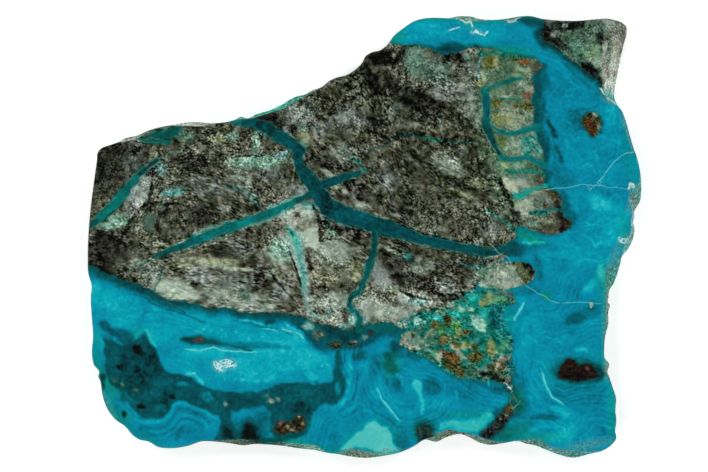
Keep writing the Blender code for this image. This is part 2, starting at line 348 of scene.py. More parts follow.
columns = len(stations)
flank = np.zeros((RIM_RINGS, columns, 3))
lump_share = np.zeros(RIM_RINGS)
for number in range(RIM_RINGS):
    way = (number + 1) / RIM_RINGS
    if way < WIDEST_AT:
        share = way / WIDEST_AT
        flat = face_edge + (outline - face_edge) * share
        height = FACE_HEIGHT - drop * share ** 1.15
    else:
        share = (way - WIDEST_AT) / (1 - WIDEST_AT)
        flat = outline + (back_edge - outline) * share
        height = (FACE_HEIGHT - drop) * (1 - share)
    flank[number] = np.column_stack([flat, height])
    lump_share[number] = math.sin(math.pi * share) ** 0.6
depth = LUMP_DEPTH * np.maximum(LUMP_COVER + lumps(flank.reshape(-1, 3), LUMP_SIZE, 3, 2), 0.0)
depth += GRIT_DEPTH * np.maximum(lumps(flank.reshape(-1, 3), GRIT_SIZE, 4, 2), 0.0)
depth = depth.reshape(RIM_RINGS, columns) * lump_share[:, None]
flank[:, :, :2] -= edge_normal * depth[:, :, None]

face_grid = patch_between(face_edge, ACROSS, DOWN)
face_points = np.concatenate([face_grid, np.full(face_grid.shape[:2] + (1,), FACE_HEIGHT)], axis=2).reshape(-1, 3)
back_grid = patch_between(flank[-1, ::2, :2], ACROSS // 2, DOWN // 2)
back_points = np.concatenate([back_grid, np.zeros(back_grid.shape[:2] + (1,))], axis=2)[1:-1, 1:-1].reshape(-1, 3)
points = np.concatenate([face_points, flank.reshape(-1, 3), back_points])

number = np.arange(len(face_points)).reshape(DOWN + 1, ACROSS + 1)
face_quads = np.stack([number[:-1, :-1], number[1:, :-1], number[1:, 1:], number[:-1, 1:]], axis=-1).reshape(-1, 4)
rings = np.concatenate([ring_of_grid(ACROSS, DOWN)[None],
                        len(face_points) + np.arange(RIM_RINGS * columns).reshape(RIM_RINGS, columns)])
next_rings = np.roll(rings, -1, axis=1)
rim_quads = np.stack([rings[:-1], next_rings[:-1], next_rings[1:], rings[1:]], axis=-1).reshape(-1, 4)
back_number = np.zeros((DOWN // 2 + 1, ACROSS // 2 + 1), dtype=int)
back_number.reshape(-1)[ring_of_grid(ACROSS // 2, DOWN // 2)] = rings[-1, ::2]
inner = len(face_points) + RIM_RINGS * columns + np.arange(len(back_points))
back_number[1:-1, 1:-1] = inner.reshape(DOWN // 2 - 1, ACROSS // 2 - 1)
back_quads = np.stack([back_number[:-1, :-1], back_number[:-1, 1:], back_number[1:, 1:], back_number[1:, :-1]],
                      axis=-1).reshape(-1, 4).tolist()
halfway = dict(zip(zip(rings[-1, ::2].tolist(), np.roll(rings[-1, ::2], -1).tolist()), rings[-1, 1::2].tolist()))
back_faces = []
for quad in back_quads:
    face = []
    for here, ahead in zip(quad, quad[1:] + quad[:1]):
        face.append(here)
        if (here, ahead) in halfway:
            face.append(halfway[here, ahead])
    back_faces.append(face)

# Host rock
# Dark and pale mineral grains, drawn out into streaks by the rock's foliation
# and cut flat by the saw. Each point of the slab gets a mean colour, the
# strength of its speckle and the direction in which its grains are drawn out.
# Rows are in pixels of the photograph; tones run from 0, black, to 255, white.
STONE_DRIFT = 10.0
STONE_DRIFT_SIZE = 60.0
MAIN_ROCK = (
    (70, 264), (88, 264), (100, 270), (116, 276), (131, 281.5), (143, 285.6), (153.5, 290.7),
    (160, 296), (170, 299.5), (182, 301), (197, 303), (205, 306.5), (213, 308.5), (223, 307),
    (230, 307.6), (240, 311.6), (256, 313), (276, 312.7), (291, 314), (307, 318), (317, 324),
    (332, 325.4), (342, 329.5), (354, 329), (363, 327), (370, 323.5), (385.5, 322), (392, 323),
    (401, 328.6), (407, 328), (412, 322), (425, 316), (440, 312), (455, 305), (464, 297),
    (475, 290), (478, 277), (484, 269), (492, 263), (503, 260), (508, 255), (503, 247),
    (507, 243), (515, 238), (514, 228), (520, 226), (530, 230), (540, 233), (550, 234.5),
    (562, 233), (569, 228), (571.5, 223), (563, 216), (561, 208), (562, 202), (557, 193),
    (548, 189), (543, 185), (545, 176), (540, 168), (543, 160), (542, 150), (537, 140),
    (536, 131), (532, 125), (534, 115), (531, 100), (534, 92), (533, 84), (529, 79),
    (536, 74), (542, 66), (537, 61), (530, 57), (519, 55.6), (508, 54.6), (503, 52),
    (493, 49), (482, 48.5), (475, 47), (467, 49), (457, 53), (447, 55), (438, 54), (431, 50),
    (421, 46), (411, 45.5), (401, 45.5), (390.6, 43.4), (378, 36), (340, 40), (200, 60), (60, 100),
)
CORNER_ROCK = (
    (540, 36), (544, 30), (543, 24), (548, 14), (650, 4), (650, 116), (617, 104), (606, 97),
    (601, 91), (602, 86), (596, 79), (581, 68), (569, 58.5), (553.6, 47), (545, 43),
)
PALE_LOBE = (
    (476, 272), (484, 266), (492, 263), (505, 262), (520, 261.5), (529, 264), (535, 270),
    (534, 278), (527, 284), (518, 286), (508, 289.5), (498, 290.5), (487, 290.5), (478, 286),
)
# Rows of tones: x, y, half length, half width, turn and tone.
GREY_GREEN = (0.90, 1.00, 0.90)
OLIVE = (0.95, 1.00, 0.80)
GREEN = (0.74, 1.00, 0.86)
LILAC = (0.92, 1.00, 0.95)
YELLOW = (0.95, 1.00, 0.79)
PINK = (1.12, 1.00, 0.90)
PALE_TURQUOISE = (0.70, 1.00, 0.95)
ROCK_BASE_TONE = 78
WIDE_TONES = (
    (OLIVE, (
        (112, 165, 20, 26, 10, 42), (128, 152, 24, 9, 0, 40), (113, 244, 26, 17, 18, 37),
        (100, 262, 13, 9, 8, 42), (192, 164, 17, 9, 5, 43), (176, 172, 9, 9, 0, 94),
        (200, 215, 14, 13, 10, 43), (150, 244, 20, 9, 10, 90), (185, 264, 14, 6, 5, 110),
        (219, 251, 9, 8, 0, 38), (260, 274, 12, 14, 20, 50), (350, 230, 28, 7, 18, 46),
        (271, 118, 26, 7, 20, 32), (384, 58, 22, 9, -8, 33), (459, 58, 15, 5, 5, 36),
        (386, 82, 15, 11, 20, 58), (373, 81, 7, 8, 30, 30), (420, 104, 24, 13, 25, 40),
        (375, 125, 8, 8, 40, 40), (330, 165, 17, 7, 25, 52), (312, 158, 11, 8, 0, 50),
        (357, 192, 14, 9, 30, 38), (400, 160, 17, 9, 30, 58), (400, 211, 13, 9, 30, 54),
        (396, 244, 20, 5, 14, 54), (402, 272, 13, 16, 20, 54), (455, 268, 20, 8, 10, 60),
        (425, 283, 14, 8, 10, 48),
    )),
    (GREY_GREEN, (
        (134, 164, 14, 9, 20, 80), (205, 186, 22, 10, 15, 96), (240, 248, 12, 9, 20, 96),
        (236, 280, 19, 9, 5, 116), (272, 173, 14, 8, 0, 90), (150, 270, 14, 11, 20, 128),
        (220, 293, 20, 9, 8, 142), (250, 303, 26, 8, 5, 146), (176, 290, 24, 10, 12, 184),
        (240, 180, 12, 9, 30, 118), (300, 114, 18, 12, -20, 110), (332, 305, 24, 11, 5, 148),
        (365, 301, 10, 9, 0, 148), (385, 311, 28, 10, 4, 166), (415, 303, 22, 7, 8, 132),
        (345, 154, 14, 9, 10, 134), (420, 268, 14, 8, 0, 120), (446, 286, 11, 7, 10, 120),
        (472, 110, 10, 17, 0, 134), (450, 165, 17, 10, 20, 150), (490, 228, 11, 13, 0, 116),
        (394, 110, 6, 10, 20, 96), (457, 90, 20, 10, 12, 108), (470, 70, 9, 10, 0, 100),
        (302, 213, 22, 10, -12, 164), (334, 251, 21, 14, 15, 152), (312, 238, 8, 13, 0, 174),
    )),
    (GREEN, (
        (150, 222, 8, 9, 0, 100), (188, 137, 9, 6, 0, 108), (257, 162, 29, 7, -2, 148),
        (256, 142, 4, 14, 0, 146), (282, 250, 14, 12, 0, 142), (415, 62, 11, 16, 0, 124),
        (436, 72, 17, 13, 0, 101), (115, 222, 18, 7, -12, 152),
    )),
    (LILAC, (
        (140, 192, 11, 19, 25, 149), (200, 275, 12, 9, 10, 134), (318, 129, 9, 6, 0, 118),
        (300, 190, 11, 6, 10, 142), (380, 276, 9, 15, -20, 140), (386, 181, 11, 10, 40, 110),
        (282, 292, 8, 9, 20, 124), (350, 118, 16, 12, 10, 109), (444, 94, 14, 7, 0, 118),
    )),
    (YELLOW, (
        (325, 275, 18, 10, 10, 110), (355, 267, 9, 8, 20, 128), (217, 138, 10, 7, 0, 142),
        (305, 138, 6, 7, -20, 140), (478, 183, 9, 5, 5, 126), (466, 195, 13, 3.5, 25, 130),
        (215, 262, 22, 5, 5, 148), (153, 152, 5, 5, 0, 112),
    )),
    (PALE_TURQUOISE, (
        (174, 192, 13, 4.5, -8, 136), (283, 155, 9, 4, -25, 150), (354, 320, 8, 6, 0, 158),
        (418, 300, 10, 5, 0, 150), (162, 169, 6, 7, 0, 118),
    )),
)
# Broad light and dark over the grains: the last number is added to the tone.
SHADES = (
    (285, 235, 16, 40, 0, 22), (270, 262, 11, 14, 0, 28), (300, 245, 13, 26, 0, 24),
    (312, 253, 13, 8, 0, 24), (298, 278, 16, 18, 0, 16), (272, 200, 12, 16, 0, 18),
    (312, 313, 12, 7, 25, 36), (338, 322, 16, 7, 8, 34), (390, 288, 18, 8, 0, 26), (428, 296, 30, 7, 4, 32),
    (465, 158, 26, 36, 0, -22), (487, 165, 10, 26, -10, -24), (500, 195, 9, 18, -12, -24),
    (480, 226, 14, 14, 0, -18), (345, 88, 34, 12, -28, -20), (385, 97, 14, 16, 0, -22),
    (334, 116, 20, 14, 0, -20), (355, 151, 12, 12, 0, -26), (276, 130, 16, 12, 0, -24),
    (296, 143, 12, 8, 0, -14), (205, 128, 20, 8, 0, -20), (174, 142, 14, 8, 0, -14),
    (338, 180, 16, 12, 0, -20), (300, 180, 12, 10, 0, -30), (385, 180, 16, 12, 0, -20),
    (412, 202, 18, 10, 0, -22), (176, 215, 9, 9, 0, -16), (222, 224, 12, 10, 0, -12),
    (250, 212, 10, 8, 0, -16), (154, 247, 14, 12, 40, -22), (250, 271, 9, 8, 0, -26),
    (100, 270, 14, 7, 10, -30), (122, 278, 20, 6, 18, -26), (124, 258, 16, 9, 0, 22),
    (188, 256, 18, 8, 0, 16), (205, 281, 14, 7, 0, 14), (243, 309, 12, 7, 0, 20), (175, 272, 12, 8, 0, 14),
    (247, 165, 10, 16, 0, 14), (180, 203, 16, 7, 0, 14), (300, 119, 14, 9, 0, 24),
    (319, 146, 12, 14, 0, 20), (380, 67, 14, 10, 0, 12), (440, 50, 20, 16, 0, 12), (478, 84, 10, 18, 0, 20),
    (440, 276, 16, 7, 0, -22), (472, 272, 9, 20, 0, -22), (470, 312, 16, 14, 0, -18),
    (480, 246, 18, 8, 0, -20), (362, 260, 14, 8, 0, -16), (525, 193, 14, 8, 0, 22),
    (514, 158, 12, 10, 0, 14), (420, 140, 20, 20, 0, -12), (420, 250, 30, 8, 10, -8),
    (195, 178, 16, 10, 0, -12), (98, 180, 8, 20, 0, -14),
)
# Dark streaks along the foliation: tone added, how soft, and rows of x, y, half width.
DARK_STREAKS = (
    (-36, 3.0, ((364, 70, 6), (373, 83, 5), (379, 95, 3), (374, 103, 2))),
    (-30, 2.5, ((371, 108, 2), (375, 122, 3), (384, 133, 2.4))),
    (-38, 2.5, ((404, 89, 1.4), (416, 93, 2.4), (430, 99, 2.6), (444, 106, 2.6), (456, 114, 2.6),
                (466, 125, 2.4), (484, 141, 2))),
    (-26, 2.5, ((392, 95, 2), (410, 105, 3), (426, 115, 3), (446, 121, 2))),
    (-32, 2.5, ((398, 138, 1.6), (409, 150, 2.4), (422, 162, 3), (438, 175, 3), (456, 184, 2.6),
                (474, 190, 1.6))),
    (-32, 3.0, ((444, 139, 2), (465, 148, 3), (480, 160, 3.4), (495, 172, 3))),
    (-30, 3.0, ((372, 57, 5), (384, 60, 7), (397, 62, 4))),
    (-34, 2.5, ((432, 52, 1.6), (446, 57, 4), (466, 57, 3))),
)


def drifted_pixels(vertices):
    """Pixels of the photograph over each point. The veins run through the slab at a slant,
    so towards the back the place is moved by noise times the depth below the face."""
    pixels = vertices[:, :2] / PIXEL * (1.0, -1.0) + SLAB_MIDDLE
    below = np.clip(1 - vertices[:, 2] / FACE_HEIGHT, 0, 1)
    flat = np.column_stack([pixels, np.zeros(len(pixels))])
    slant = np.column_stack([lumps(flat, STONE_DRIFT_SIZE, 11), lumps(flat, STONE_DRIFT_SIZE, 12)])
    return pixels + slant * (STONE_DRIFT * below)[:, None]


def eased(share):
    """0 up to 0, 1 from 1, and 3s^2 - 2s^3 between."""
    share = np.clip(share, 0, 1)
    return share * share * (3 - 2 * share)


def ellipse(x, y, half_length, half_width, turn, soft=0.5):
    """1 inside a turned ellipse and 0 outside, eased over a border of the given share of it."""
    cosine, sine = math.cos(math.radians(turn)), math.sin(math.radians(turn))
    across, down = spot[:, 0] - x, spot[:, 1] - y
    reach = np.hypot((across * cosine + down * sine) / half_length, (down * cosine - across * sine) / half_width)
    return eased((1 + soft - reach) / (2 * soft))


def depth_inside(outline):
    """Pixels from a closed line, more than 0 inside: the least distance to its straight
    parts, with the sign from how often a ray to the right crosses it."""
    starts = np.array(outline, dtype=float)
    least = np.full(len(spot), 1e6)
    odd = np.zeros(len(spot), dtype=bool)
    for start, end in zip(starts, np.roll(starts, -1, axis=0)):
        way = end - start
        share = np.clip(((spot - start) @ way) / (way @ way), 0, 1)
        least = np.minimum(least, np.linalg.norm(spot - start - share[:, None] * way, axis=1))
        if way[1] != 0:
            crossing = start[0] + (spot[:, 1] - start[1]) / way[1] * way[0]
            odd ^= ((start[1] > spot[:, 1]) != (end[1] > spot[:, 1])) & (spot[:, 0] < crossing)
    return np.where(odd, least, -least)


def gap_to(line, half=0.0):
    """Pixels from the edge of a line, less than 0 within it: the least over its parts of
    distance less half width, which is the third number of a row, or else the same all along."""
    rows = np.array([(*row, half)[:3] for row in line], dtype=float)
    reach = rows[:, 2].max() + GAP_REACH
    near = np.all((spot > rows[:, :2].min(axis=0) - reach) & (spot < rows[:, :2].max(axis=0) + reach), axis=1)
    close = spot[near]
    least = np.full(len(close), GAP_REACH)
    for start, end in zip(rows, rows[1:]):
        way = end[:2] - start[:2]
        share = np.clip(((close - start[:2]) @ way) / (way @ way), 0, 1)
        offset = np.linalg.norm(close - start[:2] - share[:, None] * way, axis=1)
        least = np.minimum(least, offset - start[2] - share * (end[2] - start[2]))
    gap = np.full(len(spot), GAP_REACH)
    gap[near] = least
    return gap


def lay(layer, cover, value):
    """Paint a value over a layer: layer + cover * (value - layer)."""
    if layer.ndim == 2:
        cover = cover[:, None]
    layer += cover * (value - layer)


GAP_REACH = 12.0
WOBBLE = 1.3
WOBBLE_SIZE = 7.0
still = drifted_pixels(points)
still_flat = np.column_stack([still, np.zeros(len(still))])
spot = still + WOBBLE * np.column_stack([lumps(still_flat, WOBBLE_SIZE, 21, 2), lumps(still_flat, WOBBLE_SIZE, 22, 2)])
rock = np.maximum(np.maximum(depth_inside(MAIN_ROCK), depth_inside(CORNER_ROCK)), depth_inside(PALE_LOBE))
rock_colour = np.full((len(spot), 3), ROCK_BASE_TONE / 255.0) * OLIVE
for tint, rows in WIDE_TONES:
    for *shape, tone in rows:
        lay(rock_colour, ellipse(*shape), np.array(tint) * tone / 255.0)
for *shape, added in SHADES:
    rock_colour += ellipse(*shape, soft=0.7)[:, None] * added / 255.0
for added, soft, line in DARK_STREAKS:
    rock_colour += eased((soft - gap_to(line)) / (2 * soft))[:, None] * added / 255.0

# Grains and cracks of the host rock
# Single large grains, thin dark seams along which the rock has split and pale
# seams that healed with quartz. Ellipses as above; lines begin with a half width.
SMALL_TONES = (
    (OLIVE, (
        (107, 259, 9, 5, 15, 30), (152, 173, 5, 4, 0, 34), (203, 297, 5, 3, 20, 40),
        (195, 285, 6, 2.5, 50, 60), (262, 277, 7, 7, 45, 34), (298, 217, 2.5, 5, -20, 40),
        (309, 250, 5, 3, 0, 48), (309, 262, 3, 9, -10, 50), (320, 148, 8, 2.5, 10, 26),
        (292, 129, 7, 4, 30, 28), (283, 147, 9, 2.6, 28, 30), (388, 262, 6, 9, -20, 44),
        (397, 283, 6, 5, 20, 36), (430, 288, 10, 4, 5, 34), (445, 296, 9, 3, 15, 40),
        (395, 303, 6, 3, 25, 84), (346, 315, 3, 8, 5, 50), (320, 312, 6, 4, 0, 70),
        (264, 302, 7, 1.4, 10, 60),
    )),
    (GREY_GREEN, (
        (137, 229, 4, 4, 0, 132), (136, 261, 5, 4, -30, 140), (188, 297, 16, 2.4, 3, 190),
        (214, 303, 8, 3, 20, 160), (233, 268, 22, 1.6, 5, 168), (270, 309, 12, 2.4, 4, 150),
        (329, 174, 9, 2.6, 35, 152), (345, 191, 9, 1.8, 38, 152), (361, 205, 5, 4, 30, 158),
        (356, 199, 5, 2, 50, 146), (462, 150, 6, 4, 0, 130), (437, 229, 4, 4, 0, 130),
        (479, 241, 5, 4, 10, 130), (467, 284, 5, 4, 0, 112), (404, 295, 6, 4, 20, 166),
        (330, 320, 10, 2.4, 10, 166), (338, 296, 9, 5, 0, 150), (250, 185, 4, 6, -20, 142),
        (395, 214, 6, 2, 20, 120), (398, 325.5, 6, 3, 15, 168), (394, 56, 1.6, 3.4, 0, 150),
        (343, 117, 7, 6, 0, 126), (440, 124, 3, 7, -20, 98), (222, 210, 6, 5, 0, 112),
        (163, 244, 7, 1.8, 15, 132),
    )),
    (LILAC, (
        (139, 203, 5, 6, 0, 168), (331, 126, 5, 5, 0, 120), (388, 178, 6, 5, 40, 128),
        (286, 130, 3, 4, 30, 128),
    )),
    (GREEN, ((233, 137, 7, 5, 0, 130), (246, 294, 8, 5, 10, 112), (333, 233, 5, 4, 30, 140))),
    (YELLOW, ((357, 277, 4, 4, 20, 150), (437, 132, 8, 1.8, 5, 118))),
    (PINK, ((298, 219, 2, 2.6, 0, 140),)),
)
DARK_SEAMS = (
    (1.6, ((152, 178), (152, 192), (149, 202), (140, 210), (131, 221), (124, 234))),
    (1.6, ((96, 229), (106, 233), (116, 239), (128, 246))),
    (1.7, ((168, 208), (160, 215), (157, 226), (156, 236))),
    (1.3, ((166, 205), (176, 203), (187, 206), (194, 213))), (0.7, ((195, 197), (208, 203), (219, 210))),
    (1.6, ((314, 207), (318, 214), (320, 226), (321, 241))),
    (0.8, ((324, 239), (334, 239), (344, 240), (352, 246))),
    (1.3, ((322, 222), (333, 229), (342, 235), (353, 241), (366, 247))),
    (1, ((366, 128), (373, 133), (381, 137), (392, 137))), (0.9, ((372, 119), (375, 126), (383, 132))),
    (1.2, ((427, 101), (440, 103), (452, 108), (462, 116), (472, 127), (484, 139))),
    (0.8, ((395, 222), (408, 228), (425, 234), (440, 238), (459, 241))),
    (1, ((248, 247), (246, 238), (250, 228))), (1, ((290, 252), (294, 262), (298, 274), (301, 285))),
    (1.5, ((402, 291), (412, 296), (424, 299), (440, 300), (455, 299), (463, 295))),
    (0.8, ((232, 157), (247, 156), (262, 156))), (1, ((270, 272), (279, 283), (287, 292), (295, 301))),
    (2.3, ((499, 182), (505, 192), (510, 202), (513, 213), (516, 222))),
)
PALE_SEAMS = (
    (0.5, ((268, 126), (278, 132), (286, 136), (292, 136), (298, 134))),
    (0.6, ((190, 190), (202, 197), (214, 203), (228, 208))),
    (0.6, ((184, 180), (198, 181), (212, 185), (226, 190))),
    (0.6, ((226, 161), (234, 170), (243, 178), (250, 186))),
    (0.7, ((216, 187), (232, 191), (243, 197), (256, 202))),
    (0.9, ((292, 158), (294, 166), (294, 176), (292, 184))), (0.8, ((320, 169), (327, 174), (335, 180))),
    (1, ((335, 186), (342, 191), (349, 196), (355, 202), (361, 206))),
    (1, ((340, 237), (352, 242), (362, 246), (371, 248))),
    (1.2, ((376, 243), (386, 248), (396, 253), (405, 257))), (0.8, ((374, 213), (383, 218), (393, 220))),
    (0.9, ((446, 188), (456, 190), (466, 196), (474, 198))),
    (0.8, ((157, 236), (158, 242), (165, 245), (174, 243))),
    (0.8, ((165, 248), (178, 244), (192, 237), (208, 230), (221, 226))),
    (0.9, ((178, 257), (194, 251), (210, 244), (226, 239))),
    (0.9, ((170, 300), (186, 302), (200, 304), (212, 308))),
    (0.9, ((205, 261), (214, 266), (230, 268), (248, 270))),
)
SEAM_DARK = (20, 24, 16)
SEAM_PALE = (150, 164, 138)
SEAM_STRENGTH = 0.8
PALE_STRENGTH = 0.48
# Speckle: how far the grains leave the mean colour, as a share of white.
SPECKLE = 0.11
SPECKLE_ROWS = (
    (115, 170, 20, 30, 0, 0.07), (120, 248, 26, 18, 0, 0.08), (150, 243, 20, 9, 10, 0.14),
    (178, 290, 26, 10, 10, 0.07), (200, 215, 12, 12, 0, 0.08), (150, 222, 7, 8, 0, 0.03),
    (420, 62, 18, 16, 0, 0.05), (420, 105, 26, 14, 20, 0.075), (384, 58, 20, 8, 0, 0.05),
    (490, 196, 16, 20, 40, 0.15), (350, 230, 28, 8, 15, 0.15), (338, 250, 15, 11, 10, 0.05),
    (385, 312, 28, 9, 5, 0.06), (380, 276, 9, 14, -20, 0.045), (260, 276, 16, 14, 20, 0.14),
    (440, 285, 40, 14, 0, 0.13), (270, 118, 26, 7, 20, 0.05), (222, 252, 9, 8, 0, 0.05),
    (304, 139, 9, 9, 0, 0.06), (300, 212, 22, 10, -12, 0.07), (312, 238, 8, 12, 0, 0.05),
    (430, 160, 30, 20, 0, 0.09),
)
# Foliation: x, y, turn, and how far the grains are drawn out, in pixels.
FOLIATION = (
    (130, 160, 40, 2), (110, 195, 20, 1.5), (138, 195, -50, 3), (168, 158, -30, 3), (195, 162, 10, 3),
    (205, 190, 25, 7), (200, 222, 70, 1.5), (110, 245, 20, 4), (150, 272, 10, 2.5), (190, 262, 8, 7),
    (235, 262, 6, 8), (200, 290, 12, 5), (265, 305, 10, 6), (225, 145, 0, 2), (256, 142, 90, 3),
    (258, 162, 5, 4), (272, 176, 70, 3), (245, 207, 35, 7), (275, 250, 60, 2), (292, 290, 42, 5),
    (302, 214, -15, 2), (335, 305, 20, 2), (390, 247, 20, 6), (440, 255, 22, 5), (402, 275, 60, 2),
    (440, 285, 25, 3), (300, 115, 40, 1.5), (330, 100, 30, 2), (270, 118, 35, 3), (330, 165, 35, 5),
    (345, 154, 40, 2.5), (375, 203, 45, 5), (445, 195, 32, 7), (468, 196, 25, 6), (490, 196, 38, 3.5),
    (480, 212, 30, 4), (440, 216, -62, 3), (462, 222, -65, 3), (490, 230, -75, 3.5), (370, 60, 30, 1.5),
    (400, 60, 90, 2), (455, 90, 25, 3), (472, 110, 60, 1.5), (370, 92, 58, 4), (480, 138, 45, 3),
    (470, 158, 50, 2),
)
FOLIATION_REACH = 17.0
FOLIATION_PULL = 0.55

for tint, rows in SMALL_TONES:
    for *shape, tone in rows:
        lay(rock_colour, ellipse(*shape) * 0.9, np.array(tint) * tone / 255.0)
drawn_lines = [(SEAM_DARK, SEAM_STRENGTH, half, line) for half, line in DARK_SEAMS]
drawn_lines += [(SEAM_PALE, PALE_STRENGTH, half, line) for half, line in PALE_SEAMS]
speckle = np.full(len(spot), SPECKLE)
for *shape, amount in SPECKLE_ROWS:
    lay(speckle, ellipse(*shape), amount)

pull = np.zeros((len(spot), 2))
pull_weight = np.full(len(spot), 1e-6)
for x, y, turn, length in FOLIATION:
    weight = np.exp(-np.sum((spot - (x, y)) ** 2, axis=1) / (2 * FOLIATION_REACH ** 2))
    pull += weight[:, None] * length * np.array((math.cos(math.radians(2 * turn)), math.sin(math.radians(2 * turn))))
    pull_weight += weight
pull /= pull_weight[:, None]
double_turn = np.arctan2(pull[:, 1], pull[:, 0])
pull_length = np.hypot(pull[:, 0], pull[:, 1]) * FOLIATION_PULL

# Corner rock, block column, pale lobe and breccia
# Weathered blocks of the rock beside the chrysocolla: green and black rock in
# the top right corner, a column of cream and olive blocks stained by rust, a
# pale lobe with a brown cap, and rubble bound by green chrysocolla.
# Rows: x, y, half length, half width and turn, under the colour of the mineral.
BLOCK_SPECKLE = 0.055
CORNER_SPECKLE = 0.08
COLUMN = (
    (482, 49), (540, 52), (552, 100), (552, 190), (580, 222), (560, 240),
    (524, 228), (512, 205), (504, 180), (498, 160), (488, 140), (482, 120),
)
BLOCKS = (
    ((88, 112, 88), ((510, 130, 34, 92, -8),)),
    ((70, 96, 80), ((590, 50, 40, 34, 0),)),
    ((104, 138, 104), ((591, 53, 8, 10, 35),)),
    ((126, 152, 132), ((597, 62, 5, 7, -10),)),
    ((34, 44, 38), ((556, 27, 24, 5, -4), (548, 38, 8, 8, 20), (601, 40, 4, 9, -5), (560, 45, 9, 3, 30))),
    ((12, 18, 14), (
        (574, 25, 10, 5, -8), (545, 34, 6, 6, 0), (588, 68, 13, 4.5, 42), (596, 78, 8, 4, 45),
        (556, 42, 4, 4, 0),
    )),
    ((108, 116, 112), ((553, 35, 4, 3, 10), (565, 27, 3, 2, 0))),
    ((70, 114, 94), ((576, 47, 6, 7, 0), (580, 60, 6, 2, 35))),
    ((148, 156, 144), ((604, 62, 3, 22, 0),)),
    # the first block, at the top
    ((84, 90, 42), ((488, 61, 6, 8, 0),)),
    ((150, 152, 110), ((496, 64, 2.6, 6, 0),)),
    ((66, 98, 74), ((506, 64, 8, 9, 0), (505, 76, 12, 6, 0))),
    ((60, 72, 30), ((515, 58, 6, 3.5, 10),)),
    ((126, 84, 42), ((524, 62, 7, 3.2, 15),)),
    ((128, 150, 118), (
        (520, 71, 7, 3, 10), (483, 77, 5, 6, 0), (517, 76, 7, 2.4, 15), (529, 73, 3, 5, 10),
    )),
    ((52, 92, 62), ((521, 73, 4, 1.6, 20),)),
    ((142, 138, 84), ((480, 84, 3, 3, 0),)),
    # the second block
    ((134, 150, 130), ((529, 90, 5, 4, 0), (522, 84, 5, 3, 0), (505, 97, 6, 1.6, 0))),
    ((112, 78, 56), ((526, 96, 5, 3, -20),)),
    ((92, 86, 40), ((495, 103, 5, 5, 0),)),
    ((128, 144, 120), ((511, 114, 13, 8, 10), (516, 125, 12, 6, 0))),
    ((76, 80, 38), ((526, 106, 6, 5, 20), (516, 107, 3, 2, 0))),
    ((116, 128, 78), ((498, 120, 5, 7, 0), (507, 119, 6, 3, 0))),
    ((120, 142, 124), ((532, 116, 2, 4, 0),)),
    ((52, 74, 50), ((521, 113, 3, 2, 40),)),
    # the third block
    ((84, 106, 62), ((502, 143, 6, 7, 0),)),
    ((118, 144, 120), ((513, 147, 9, 9, 0),)),
    ((76, 144, 132), ((526, 142, 6, 5, 0), (535, 138, 4, 4, 0), (526, 152, 5, 5, 0))),
    ((96, 150, 146), ((538, 151, 4, 4, 0),)),
    # the fourth block
    ((140, 158, 112), ((504, 165, 4, 4, 0),)),
    ((112, 148, 122), ((517, 165, 9, 3.4, 5),)),
    ((94, 124, 108), ((518, 177, 10, 6, 5),)),
    ((72, 74, 62), ((538, 181, 5, 6, -30),)),
    ((174, 182, 158), ((510, 186, 7, 5, 35), (506, 181, 4, 3, 30), (515, 192, 3, 3, 40))),
    ((150, 164, 148), ((522, 184, 8, 4, 20),)),
    # the fifth block, with the dark tip
    ((150, 164, 144), ((526, 206, 10, 10, 0), (520, 212, 5, 7, -20), (537, 192, 10, 2, -8))),
    ((94, 112, 98), ((541, 202, 10, 8, 0), (552, 209, 6, 4, 0))),
    ((58, 54, 34), ((553, 196, 4, 6, -20), (547, 191, 5, 2, 10), (545, 206, 3, 2, 0))),
    ((24, 30, 22), ((558, 208, 3.5, 8, -20), (560, 217, 7, 3, 35), (517, 215, 3, 5, -40))),
    ((54, 118, 104), ((540, 213, 9, 3.4, 5),)),
    ((110, 124, 100), ((544, 220, 9, 3, 10),)),
    ((30, 20, 13), ((565, 224, 5, 6, -10), (562, 230, 4, 2.4, -10))),
    # spots of the host rock
    ((48, 114, 106), ((310, 206, 8, 4, 5),)), ((121, 136, 114), ((272, 273, 6, 6, 0), (395, 288, 6, 4, 0))),
    ((122, 160, 152), ((365, 321, 5, 4, 0), (343, 326, 6, 4, 0), (316, 316, 6, 3, 0), (405, 322, 5, 4, 0))),
    ((38, 46, 37), (
        (360, 99, 5, 5, 0), (303, 103, 7, 3.4, 30), (260, 194, 4, 5, 0), (210, 144, 6, 3, 0),
        (488, 170, 3, 6, -15), (487, 143, 3, 5, -15), (479, 266, 5, 4, 0), (211, 133, 6, 4, 0),
    )),
    ((79, 111, 98), ((329, 314, 5, 3, 0), (327, 225, 5, 4, 0))), ((116, 141, 127), ((303, 128, 5, 4, 0),)),
    ((96, 110, 97), ((164, 205, 5, 5, 0),)), ((79, 139, 122), ((303, 145, 3, 4, 0),)),
    ((108, 142, 126), ((467, 57, 5, 4, 0), (532, 224, 6, 3, 0), (284, 254, 4, 4, 0))),
    # the pale lobe and its cap
    ((130, 149, 134), ((505, 276, 30, 14, 0),)),
    ((150, 166, 146), ((498, 285, 12, 4, 0), (502, 274, 8, 4, 10), (483, 286, 6, 3, 0))),
    ((86, 118, 98), ((483, 274, 5, 6, 0), (490, 268, 6, 3, -20))),
    ((80, 90, 62), ((521, 270, 7, 7, 0), (526, 279, 6, 5, -20), (516, 264, 7, 2, 0))),
    ((22, 24, 14), ((527, 265, 6, 4, 35), (531, 272, 3.4, 5, 0))),
)
RUBBLE_WOBBLE = 2.6
RUBBLE_SIZE = 6.0
RUBBLE_SPECKLE = 0.075
